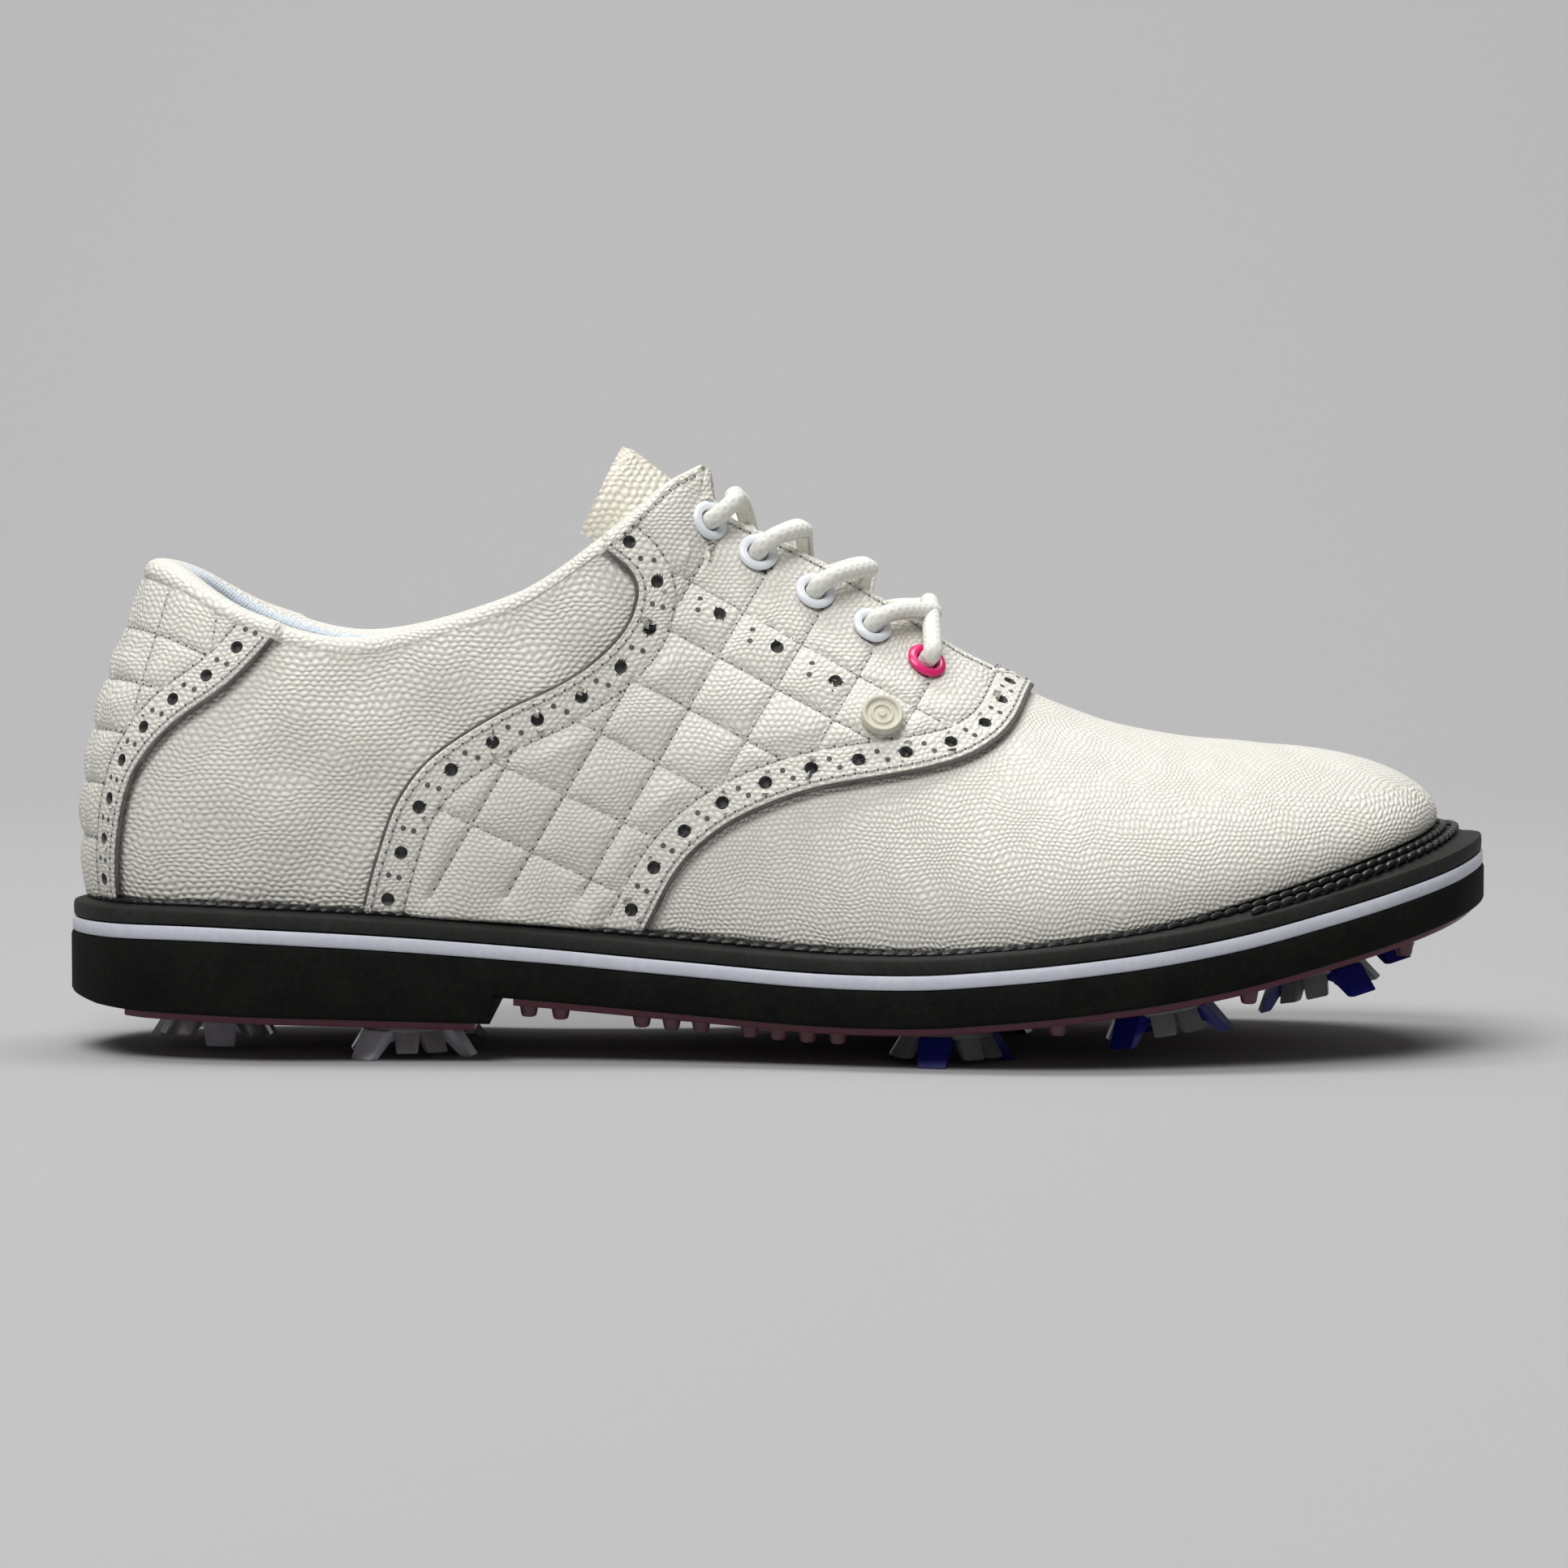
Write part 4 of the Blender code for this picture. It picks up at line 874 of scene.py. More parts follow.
def woven(name, color, dark, pitch, height, roughness=0.85):
    """Cloth with a plain weave of the given pitch in millimetres, with painted shade darkening it where the
    weave lies low.
    """
    made = Shader(name, color, roughness, Sheen_Weight=0.25)
    turn = 2 * math.pi / (pitch * MM)
    waves = [made.math("SINE", made.math("MULTIPLY", axis, turn)) for axis in made.apart(made.place())]
    weave = made.math("MULTIPLY", made.math("ADD", waves[0], waves[1]), waves[2])
    height_of = made.math("ADD", made.math("MULTIPLY", weave, 0.25), made.noise(900.0, 3.0))
    made.connect("Normal", made.bump(height_of, height))
    # painted shade: the colour darkens where the weave and its noise lie low, in the hollows between threads
    made.connect("Base Color", made.ramp(height_of, [(0.15, dark), (0.7, color)]))
    return made.material


def braided(name, color, dark):
    """A round braid: crossing strands, from the length and turn in the piece's UVs, with painted shade
    darkening the grooves between strands.
    """
    made = Shader(name, color, 0.75, Sheen_Weight=0.3)
    place = made.apart(made.place("UV"))
    around = made.math("MULTIPLY", place[0], 2 * math.pi * BRAID_STRANDS)
    along = made.math("MULTIPLY", place[1], 2 * math.pi / BRAID_PITCH)
    one = made.math("SINE", made.math("ADD", around, along))
    two = made.math("SINE", made.math("SUBTRACT", around, along))
    strands = made.math("ADD", made.math("MULTIPLY", made.math("MAXIMUM", one, two), 0.5), 0.5)
    height = made.math("ADD", strands, made.math("MULTIPLY", made.noise(1800.0, 3.0), 0.5))
    made.connect("Normal", made.bump(height, 0.09))
    # painted shade: the colour darkens where the strands lie low, in the grooves between them
    made.connect("Base Color", made.ramp(height, [(0.35, dark), (0.95, color)]))
    return made.material


def clear_plastic(name, color, roughness, share):
    made = Shader(name, color, roughness, Transmission_Weight=share, IOR=1.45)
    haze = made.noise(400.0, 3.0)
    made.connect("Normal", made.bump(haze, 0.03))
    made.connect("Base Color", made.ramp(haze, [(0.3, tuple(c * 0.82 for c in color)), (0.7, color)]))
    return made.material


def make_materials():
    cream = (0.82, 0.805, 0.745)
    return {
        "leather": leather("pebbled_leather", cream, 1.3, 1.45, 0.34),
        "saddle": leather("saddle_leather", cream, 1.2, 1.25, 0.24),
        "vamp": leather("vamp_leather", cream, 1.2, 1.0, 0.28),
        "roll": leather("roll_leather", cream, 1.2, 1.3, 0.22),
        "tongue": leather("tongue_leather_soft", (0.80, 0.765, 0.66), 1.6, 1.1, 0.34),
        "edge": grained("raw_edge", (0.16, 0.15, 0.145), (0.07, 0.065, 0.06), 0.85, 1500.0, 0.08),
        # painted shade: the flat dark colour given to the sunk holes, the small punched holes and the needle
        # holes
        "hole": grained("hole_shadow", (0.13, 0.13, 0.128), (0.075, 0.075, 0.073), 0.9, 900.0, 0.05),
        "thread": grained("grey_thread", (0.62, 0.62, 0.60), (0.36, 0.36, 0.35), 0.7, 2500.0, 0.05),
        "black_thread": grained("waxed_thread", (0.022, 0.022, 0.022), (0.006, 0.006, 0.006), 0.28, 1800.0,
                                0.08),
        "lining": woven("lining_cloth", (0.74, 0.80, 0.85), (0.55, 0.62, 0.68), 0.9, 0.12),
        "footbed": woven("footbed_cloth", (0.60, 0.62, 0.65), (0.42, 0.44, 0.47), 1.1, 0.15),
        "foam": grained("foam", (0.80, 0.80, 0.76), (0.62, 0.62, 0.58), 0.9, 1200.0, 0.15),
        "sheet": grained("stiffener", (0.60, 0.54, 0.42), (0.45, 0.39, 0.30), 0.75, 900.0, 0.08),
        "white_plastic": grained("white_gloss", (0.84, 0.87, 0.90), (0.78, 0.81, 0.85), 0.22, 500.0, 0.01,
                                 Coat_Weight=0.3),
        "pink_plastic": grained("pink_gloss", (0.86, 0.022, 0.21), (0.72, 0.015, 0.16), 0.25, 500.0, 0.01,
                                Coat_Weight=0.3),
        "lace": braided("cotton_braid", (0.80, 0.79, 0.74), (0.71, 0.70, 0.64)),
        "badge": grained("cream_rubber", (0.68, 0.65, 0.54), (0.60, 0.57, 0.46), 0.5, 700.0, 0.02),
        "welt": grained("welt_rubber_fine", (0.026, 0.027, 0.025), (0.015, 0.015, 0.014), 0.68, 900.0, 0.05,
                        Specular_IOR_Level=0.2),
        "stripe": grained("stripe_rubber_fine", (0.60, 0.62, 0.69), (0.52, 0.54, 0.61), 0.45, 700.0, 0.03),
        "midsole": grained("midsole_foam_fine", (0.008, 0.008, 0.007), (0.003, 0.003, 0.003), 0.8, 900.0,
                           0.08, Specular_IOR_Level=0.12),
        "burgundy": clear_plastic("burgundy_moulding", (0.13, 0.018, 0.045), 0.3, 0.25),
        "nub": clear_plastic("nub_moulding", (0.16, 0.065, 0.08), 0.35, 0.3),
        "board": grained("insole_board_fibre", (0.50, 0.40, 0.27), (0.36, 0.28, 0.18), 0.85, 700.0, 0.1),
        "cork": grained("cork_filler", (0.45, 0.30, 0.17), (0.22, 0.13, 0.07), 0.9, 450.0, 0.3),
        "steel": grained("spring_steel", (0.55, 0.55, 0.56), (0.42, 0.42, 0.43), 0.35, 300.0, 0.01,
                         Metallic=1.0),
        "nylon": grained("receptacle_nylon_fine", (0.10, 0.10, 0.11), (0.06, 0.06, 0.065), 0.4, 600.0, 0.02),
        "clear": clear_plastic("clear_moulding", (0.62, 0.60, 0.63), 0.25, 0.55),
        "grey": clear_plastic("grey_moulding", (0.23, 0.245, 0.255), 0.3, 0.15),
        "white_tpu": clear_plastic("white_moulding", (0.66, 0.66, 0.74), 0.3, 0.1),
        "blue_tpu": clear_plastic("blue_moulding", (0.008, 0.012, 0.20), 0.3, 0.12),
    }


# ---- the upper ----

def punch(points, normals, quads, centres, radius):
    """Sinks round holes into a sheet's points, in place, and says which of its faces are dark: painted shade
    at the bottom of each hole.
    """
    tree = KDTree(len(centres))
    for i, centre in enumerate(centres):
        tree.insert(centre, i)
    tree.balance()
    dark = np.zeros(len(points), bool)
    for i, point in enumerate(points):
        centre, _, gap = tree.find(point)
        if gap >= radius + HOLE_REACH:
            continue
        centre = np.array(centre)
        away = point - centre
        depth = away.dot(normals[i])
        away -= normals[i] * depth
        gap = np.linalg.norm(away)
        if gap < radius - 0.36:
            points[i] = point - normals[i] * HOLE_DEPTH + away * 0.3
            dark[i] = True
        elif gap < radius + 0.5:
            points[i] = centre + away * (radius / gap) + normals[i] * (depth - HOLE_DRAW)
        else:
            points[i] = point - normals[i] * HOLE_DRAW * max(0.0, 1.2 - (gap - radius))
    slots = dark[quads].any(1)
    middles = points[quads].mean(1)
    for i in np.flatnonzero(~slots & (np.abs(middles - points[quads[:, 0]]).max(1) < 2.0)):
        slots[i] = tree.find(middles[i])[2] < radius - 0.12
    return slots.astype(int)


def skin(name, uv, shift, materials, holes=None, cut=None, normals=None):
    """A sheet of leather on a fine grid, raised by shift over the last.

    holes are the points and the radius of large punched holes, which are sunk into it, and cut are the
    eyelets that the sheet is opened for.
    """
    if normals is None:
        normals = last_normal(uv[..., 0], uv[..., 1])
    points = (last_point(uv[..., 0], uv[..., 1]) + normals * shift[..., None]).reshape(-1, 3)
    quads = grid_quads(*uv.shape[:2])
    slots = None if holes is None else punch(points, normals.reshape(-1, 3), quads, *holes)
    if cut is not None:
        kept = ~(nearest(points, cut) < EYELET_OPENING)[quads].any(1)
        quads = quads[kept]
        slots = None if slots is None else slots[kept]
    made = mesh_object(name, points, quads, materials, face_slots=slots)
    return made


def other_side(uv):
    return np.stack([LOOP - uv[..., 0], uv[..., 1]], -1)[::-1]


def flip(path):
    return np.column_stack([LOOP - path[:, 0], path[:, 1]])


def wrinkles(points):
    """Slow waves of soft leather, in millimetres, for points of either side."""
    x, y, z = points[..., 0], np.abs(points[..., 1]), points[..., 2]
    return (0.22 * np.sin(x / 7.3 + z / 5.1) + 0.16 * np.sin(x / 3.9 - z / 4.3 + 1.3)
            + 0.12 * np.sin(z / 2.9 + x / 11.0 + y / 6.0))


def edge_round(columns, rows):
    """How far the outermost grid lines of a sheet fall, so that its cut edges look rounded."""
    fall = np.zeros((columns, rows))
    fall[[0, -1], :] = 0.3
    fall[:, 0] = 0.3
    return fall


def seam_families():
    """The saddle's quilt seams, as two lists of (u, v) paths kept inside its bands."""
    rear, front = saddle_edges()
    rear_points, front_points = last_point(*rear.T), last_point(*front.T)
    eyelets = last_point(*locate(EYELETS).T)
    families = []
    long_lines = [[(x, height + slope * (x + 20)) for x in np.linspace(-86, 50, 30)]
                  for height, slope in LONG_SEAMS]
    cross_lines = [[(at + (z - 60) / CROSS_SLOPE, z) for z in np.linspace(24, 116, 26)] for at in CROSS_SEAMS]
    for lines in (long_lines, cross_lines):
        family = []
        for line in lines:
            line = np.array(line)[inside_outline(line, rear, front)]
            if len(line) < 3:
                continue
            uv = catmull(locate(line), 240)
            points = last_point(*uv.T)
            keep = ((nearest(points, rear_points) > BAND_INNER) & (nearest(points, front_points) > BAND_INNER)
                    & inside_outline(points[:, [0, 2]], rear, front) & (uv[:, 1] > 0.01) & below_rim(uv, 3.4)
                    & (nearest(points, eyelets) > EYELET_R + 0.5))
            family += runs(uv, keep)
        families.append(family)
    return families


def runs(uv, keep):
    """The unbroken stretches of a path where keep is True, if they are long enough to be sewn."""
    found = []
    for run in np.split(np.arange(len(keep)), np.flatnonzero(np.diff(keep.astype(int))) + 1):
        if keep[run[0]] and len(run) > 3:
            points = last_point(*uv[run].T)
            if np.linalg.norm(np.diff(points, axis=0), axis=1).sum() > SHORTEST_SEAM:
                found.append(uv[run])
    return found


def below_rim(uv, margin):
    """True where a place is at least margin below the top edge."""
    tops = np.array([sheet_top(u) for u in uv[:, 0]])
    gap = np.linalg.norm(last_point(uv[:, 0], tops) - last_point(*uv.T), axis=1)
    return (gap > margin) & (uv[:, 1] < tops)


def inside_outline(points, rear, front):
    """True where side-view points (x, z) lie between the saddle's two edges."""
    x, z = np.array(points, float).T
    a, b = last_point(*rear.T)[:, [0, 2]], last_point(*front.T)[:, [0, 2]]
    left = np.interp(z, a[:, 1], a[:, 0])
    right = np.where(z < b[-1, 1], np.interp(z, b[:, 1], b[:, 0]), 53 - (z - b[-1, 1]) * 1.45)
    return (z > a[0, 1]) & (z < 120) & (left + 3 < x) & (x < right - 3)


def spots_along(path, pitch, first):
    """(u, v) places every pitch millimetres along a path."""
    fine = spaced(path, 400)
    run = run_along(last_point(*fine.T))
    at = np.arange(first, run[-1] - 1.5, pitch)
    return np.column_stack([np.interp(at, run, fine[:, k]) for k in (0, 1)])


def brogue(edge, inward, pitch, first):
    """Places of the large holes and of the small pairs in the band along an edge."""
    large = spots_along(shifted_path(edge, inward * BAND_HOLE), pitch, first)
    small = [spots_along(shifted_path(edge, inward * away), pitch, first + pitch / 2) for away in (3.1, 5.3)]
    return large, np.vstack(small)


def threads(path, lift, pitch=STITCH_PITCH):
    """Stitches along a (u, v) path with their needle holes, which are dark discs of painted shade. lift(uv)
    is the surface's height there.
    """
    at = spots_along(path, pitch, 0.6)
    if len(at) < 3:
        return []
    points = last_point(*at.T)
    normals = last_normal(*at.T)
    points = points + normals * (lift(at) + 0.05)[:, None]
    along = np.gradient(points, axis=0)
    along = unit(along - normals * (along * normals).sum(1)[:, None])
    holes = points + along * (pitch / 2)
    return [copies(capsule(pitch * 0.74, THREAD_R, sink=0.2), points, along, normals, 0),
            copies(dimple(NEEDLE_R, 0.08, 6), holes, along, normals, 1)]


class Quilt:
    """The height of a quilted piece over its flat bands, from the distances to seams and edges."""

    def __init__(self, families, edges):
        self.families = [[last_point(*path.T) for path in family] for family in families]
        self.edges = [last_point(*edge.T) for edge in edges]

    def height(self, uv):
        flat = uv.reshape(-1, 2)
        points = last_point(flat[:, 0], flat[:, 1])
        gaps = [nearest(points, np.vstack(family)) for family in self.families]
        inside = np.minimum(*(nearest(points, edge) for edge in self.edges)) - BAND_INNER
        crown = np.ones(len(points))
        for gap in gaps:
            crown *= np.sin(np.clip(gap / CROWN_REACH, 0, 1) * math.pi / 2) ** 0.75
        field = ease(inside / FIELD_REACH)
        tops = np.array([sheet_top(u) for u in np.clip(flat[:, 0], 0, RIM_END)])
        rim_gap = np.linalg.norm(last_point(flat[:, 0], tops) - points, axis=1)
        field *= 0.35 + 0.65 * ease((rim_gap - 16) / 6)
        field *= ease(rim_gap / 4)
        seam = np.exp(-(np.minimum(*gaps) / SEAM_WIDTH) ** 2) * (inside > -0.4)
        row = np.exp(-(np.abs(inside) / ROW_WIDTH) ** 2)
        return (PUFF * crown * field - SEAM_SINK * seam - ROW_SINK * row).reshape(uv.shape[:-1])


def heel_families(front):
    edges = [last_point(*front.T), last_point(*around(front).T)]
    levels, uprights = [], []
    for paths, lines in ((levels, [[(u, v) for u in np.linspace(-2.4, 2.4, 400)] for v in HEEL_LEVELS]),
                         (uprights, [[(u, v) for v in np.linspace(0.01, 1.0, 160)] for u in HEEL_UPRIGHTS])):
        for line in lines:
            uv = np.array(line)
            points = last_point(*uv.T)
            tops = np.array([sheet_top(abs(u)) for u in uv[:, 0]])
            keep = (nearest(points, edges[0]) > BAND_INNER) & (nearest(points, edges[1]) > BAND_INNER)
            keep &= (uv[:, 1] < tops - 0.02) & (np.abs(uv[:, 0]) < heel_row(front, uv[:, 1]))
            paths += runs(uv, keep)
    return [levels, uprights]


def around(path):
    return np.column_stack([-path[:, 0], path[:, 1]])


def heel_row(front, v):
    return np.interp(v, front[:, 1], front[:, 0])


def sunk(points_uv, lift):
    points, normals = last_point(*points_uv.T), last_normal(*points_uv.T)
    return points + normals * lift(points_uv)[:, None], normals


def lies_along(normals):
    """A direction along the surface at each normal, for a round mark that has none of its own."""
    return unit(np.cross([0, 0, 1.0], normals) + [1e-6, 0, 0])


def marks(places, lift, radius):
    # small punched holes: dark discs of painted shade
    points, normals = sunk(places, lift)
    return copies(dimple(radius, 0.04), points, lies_along(normals), normals, 1)


def make_saddles(m, frames):
    rear, front = saddle_edges()
    rim = top_path(90, rear[-1][0], front[-1][0] - 0.05) + [tuple(front[-1])]
    uv = patch(level(rear[0][0], front[0][0]), rim, rear, front, 210, 150)
    families = seam_families()
    quilt = Quilt(families, (rear, front))
    rise = quilt.height(uv) - edge_round(*uv.shape[:2])
    band_rows = [shifted_path(rear, -1.25), shifted_path(rear, -BAND_INNER),
                 shifted_path(front, 1.25), shifted_path(front, BAND_INNER)]
    big_rear, small_rear = brogue(rear, -1, 10.2, 4.0)
    big_front, small_front = brogue(front, 1, 9.8, 3.0)
    band = [(x, 91.9 + (x + 12.6) * -0.585) for x in (-12.6, -0.5, 11.6)]
    pairs = [(x + d / 2, 95.1 + (x + 17.3) * -0.575 + 2.3 * d) for x in (-17.3, -5.6, 6.7) for d in (0, -1)]
    big = np.vstack([big_rear, big_front, locate(band)])
    small = np.vstack([small_rear, small_front, locate(pairs)])

    def lift(where):
        return OVERLAY[0] + quilt.height(where[:, None, :])[:, 0] + 0.02

    for side in ("lateral", "medial"):
        turned_uv = uv if side == "lateral" else other_side(uv)
        shift = OVERLAY[0] + (rise if side == "lateral" else rise[::-1])
        own = (lambda p: p) if side == "lateral" else flip
        holes = last_point(*own(big).T) + last_normal(*own(big).T) * OVERLAY[0]
        cut = [in_mm(matrix).translation for matrix in frames[side]]
        saddle = skin(f"saddle_{side}_quilted", turned_uv, shift, [m["saddle"], m["hole"], m["edge"]],
                      holes=(holes, LARGE_R), cut=[list(c) for c in cut])
        thicken(saddle, OVERLAY[1])
        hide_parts(f"saddle_{side}")
        parts = []
        own_lift = lift if side == "lateral" else (lambda where: lift(flip(where)))
        for path in band_rows + families[0] + families[1]:
            parts += threads(own(path), own_lift)
        parts.append(marks(own(small), own_lift, SMALL_R))
        sewn(f"saddle_{side}_stitching", parts, [m["thread"], m["hole"]])


def raw_edge(name, paths, m):
    """The dark cut edge of an overlay, where it stands over the leather below."""
    parts = []
    for path in paths:
        normals = last_normal(*path.T)
        line = last_point(*path.T) + normals * (OVERLAY[0] - 0.75)
        points, faces, _ = swept(line, 0.42, 8)
        parts.append((points, faces, [0] * len(faces)))
    sewn(name, parts, [m["edge"]])


def make_heel_cover(m):
    front = heel_edge()
    bottom, top = level(-front[0][0], front[0][0]), top_path(60, -front[-1][0], front[-1][0])
    uv = patch(bottom, top, around(front), front, 190, 130)
    families = heel_families(front)
    quilt = Quilt(families, [front, around(front)])
    rise = quilt.height(np.stack([np.abs(uv[..., 0]), uv[..., 1]], -1)) - edge_round(*uv.shape[:2])
    big, small = brogue(front, 1, 8.6, 3.5)
    both_big = np.vstack([big, around(big)])
    holes = last_point(*both_big.T) + last_normal(*both_big.T) * OVERLAY[0]
    cover = skin("heel_cover_quilted", uv, OVERLAY[0] + rise, [m["saddle"], m["hole"], m["edge"]],
                 holes=(holes, LARGE_R * 0.95))
    thicken(cover, OVERLAY[1], 2)
    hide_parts("heel_cover")

    def lift(where):
        where = np.column_stack([np.abs(where[:, 0]), where[:, 1]])
        return OVERLAY[0] + quilt.height(where[:, None, :])[:, 0] + 0.02

    parts = []
    for path in (shifted_path(front, 1.25), shifted_path(front, BAND_INNER)):
        parts += threads(path, lift) + threads(around(path), lift)
    for path in families[0] + families[1]:
        parts += threads(path, lift)
    parts.append(marks(np.vstack([small, around(small)]), lift, SMALL_R))
    sewn("heel_cover_stitching", parts, [m["thread"], m["hole"]])


def make_raw_edges(m):
    rear, front = saddle_edges()
    lateral = [shifted_path(rear, 0.22)[2:-4], shifted_path(front, -0.3)[2:]]
    raw_edge("saddle_raw_edges", lateral + [flip(path) for path in lateral], m)
    heel = shifted_path(heel_edge(), -0.25)[2:-4]
    raw_edge("heel_cover_raw_edges", [heel, around(heel)], m)


def make_quarters(m, frames):
    uv = quarter_patch(HEEL_SEAM / 2, 230, 90)
    shift = wrinkles(last_point(uv[..., 0], uv[..., 1]))
    shift *= ease(uv[..., 0] - 1.2) * ease(6.4 - uv[..., 0])
    for side in ("lateral", "medial"):
        own_uv, own_shift = (uv, shift) if side == "lateral" else (other_side(uv), shift[::-1])
        cut = [list(in_mm(matrix).translation) for matrix in frames[side]]
        quarter = skin(f"quarter_{side}_leather", own_uv, own_shift, [m["leather"], m["hole"], m["edge"]],
                       cut=np.array(cut))
        thicken(quarter, LEATHER[1], 2)
        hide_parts(f"quarter_{side}")


def ridge_normals(uv):
    """Normals of a grid that closes over the ridge, from the grid itself."""
    base = last_point(uv[..., 0], uv[..., 1])
    normals = np.cross(np.gradient(base, axis=0), np.gradient(base, axis=1))
    normals[:, -1] = normals[:, -2]
    normals[:, -1, 1] = 0
    length = np.linalg.norm(normals, axis=-1)[..., None]
    return normals / np.maximum(length, 1e-9)


def make_vamp(m):
    rear = locate(VAMP_REAR)
    rear[0, 1] = 0.0
    rear[-1, 1] = 1.0
    rear = catmull(rear, 80)
    bottom, ridge = (level(row, LOOP - row, v, 60) for row, v in ((rear[0][0], 0.0), (rear[-1][0], 1.0)))
    uv = patch(bottom, ridge, rear, flip(rear), 380, 80)
    normals = ridge_normals(uv)
    vamp = skin("vamp_leather_piece", uv, np.zeros(uv.shape[:2]), [m["vamp"], m["hole"], m["edge"]],
                normals=normals)
    tidy_mesh(vamp, 0.02)
    thicken(vamp, LEATHER[1])
    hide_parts("vamp")


def swell_at(u, v):
    """How far the stiffener, and more so the padding over it, push the lining in round the heel."""
    padding = COLLAR_SWELL * ease((v - 0.53) / 0.1)
    return (STIFFENER_SWELL + padding) * ease((5.9 - np.abs(u)) / 0.5)


def make_lining(m):
    half = quarter_patch(0.0, 120, 44)
    left = np.stack([-half[..., 0], half[..., 1]], -1)[::-1]
    uv = np.concatenate([left[:-1], half])
    swell = swell_at(uv[..., 0], uv[..., 1])
    lining = skin("quarter_lining_cloth", uv, REAR_LINING[0] - swell, [m["lining"]])
    thicken(lining, REAR_LINING[1])
    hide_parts(*(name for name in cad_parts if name.startswith("quarter_lining")))


def make_top_roll(m):
    """The soft roll that closes the collar and the throat, from the outer face over to the lining."""
    us = np.linspace(-RIM_END, RIM_END, 620)
    tops = np.array([sheet_top(abs(u)) for u in us])
    high = last_point(us, tops)
    up = unit(last_point(us, tops + 0.004) - last_point(us, tops - 0.004))
    normals = last_normal(us, tops)
    drop = roll_drop(us)[:, None]
    share = cover_share(us)[:, None]
    outer = high + normals * (share * OVERLAY[0] + 0.22)
    inner = high + normals * (REAR_LINING[0] - REAR_LINING[1] - 0.2 - swell_at(us, tops)[:, None])
    middle, reach = (outer + inner) / 2, (outer - inner) / 2
    rows = [outer - up * 1.6 - normals * 0.5, outer - up * 0.9]
    for turn in np.linspace(0, math.pi, ROLL_STEPS + 1):
        rows.append(middle + reach * math.cos(turn) + up * (drop * math.sin(turn) ** 0.85))
    rows += [inner - up * 0.9, inner - up * 1.6 + normals * 0.5]
    points = np.stack(rows, 1)
    columns, count = points.shape[:2]
    faces = [tuple(f) for f in grid_quads(columns, count, closed_rows=True)]
    faces += [tuple(range(count)), tuple(range((columns - 1) * count, columns * count))[::-1]]
    inward = [f[0] % count > 2 + ROLL_STEPS * 0.6 and abs(us[f[0] // count]) < COLLAR_END for f in faces]
    roll = tidy_mesh(mesh_object("collar_roll", points.reshape(-1, 3), faces, [m["roll"], m["lining"]],
                                 face_slots=np.array(inward, int)))
    return roll


def make_rim_stitching(m):
    """The stitched row under the throat's rolled edge."""
    parts = []
    paths = []
    for start, stop in ((SADDLE_TOP_ROW + 0.15, 6.2), (6.95, RIM_END - 0.15)):
        top = [(u, sheet_top(u)) for u in np.linspace(start, stop, 90)]
        paths.append(shifted_path(top, -0.9))

    def lift(where):
        return np.full(len(where), OVERLAY[0] + 0.12)

    for own in paths + [flip(path) for path in paths]:
        parts += threads(own, lift)
    sewn("throat_stitching", parts, [m["thread"], m["hole"]])


def make_tongue(m):
    """A padded, arched tongue with rounded edges and a thin finished border at its tip."""
    rows = np.array(SOFT_TONGUE, float)
    line = catmull(rows, 110)
    across = np.linspace(-1, 1, 61)
    top = []
    for x, z, fall, back, half in line:
        bend = np.abs(across) ** 1.75
        top.append(np.column_stack([x - back * bend, half * np.sin(across * math.pi / 2.15) / 0.994,
                                    z - fall * bend]))
    top = np.array(top)
    normals = unit(np.cross(np.gradient(top, axis=0), np.gradient(top, axis=1)))
    if normals[..., 2].mean() < 0:
        normals = -normals
    s = np.linspace(0, 1, len(line))[:, None]
    border = ease((1 - s) / 0.05)
    puff = (0.35 + 0.65 * border) * (1 - np.abs(across)[None] ** 8) ** 0.5
    crown = 0.5 * border * (1 - across[None] ** 2)
    thick = 1.5 + 2.6 * puff
    upper = top + normals * (crown - 0.35 * (1 - puff))[..., None]
    lower = top - normals * (thick * np.clip(puff + 0.25, 0, 1))[..., None]
    columns, count = top.shape[:2]
    shell = np.concatenate([upper, lower[:, ::-1]], 1)
    faces = [tuple(f) for f in grid_quads(columns, 2 * count, closed_rows=True)]
    for c in (0, columns - 1):
        start = c * 2 * count
        faces += [(start + j, start + j + 1, start + 2 * count - 2 - j, start + 2 * count - 1 - j)
                  for j in range(count - 1)]
    tongue = mesh_object("tongue_padded", shell.reshape(-1, 3), faces, [m["tongue"]], "tongue", sharp=50)
    finished(tidy_mesh(tongue), "tongue_leather", "tongue")


# ---- laces, eyelets and badge ----

def make_eyelets(m, frames):
    profile = [(BORE_R, 1.1), (BORE_R + 0.25, 1.45), (BORE_R + 0.7, 1.62), (EYELET_R - 0.7, 1.6),
               (EYELET_R - 0.25, 1.42), (EYELET_R, 1.05), (EYELET_R - 0.1, 0.5), (BARREL_R, 0.4),
               (BARREL_R, -5.1), (BORE_R, -5.1)]
    for side, matrices in frames.items():
        for i, matrix in enumerate(matrices, 1):
            kind = "pink_plastic" if i == len(matrices) else "white_plastic"
            ring = turned(f"eyelet_{side}_{i}_ring", profile, in_mm(matrix), m[kind], steps=48)
            finished(ring, kind, f"eyelet_{side}_{i}")


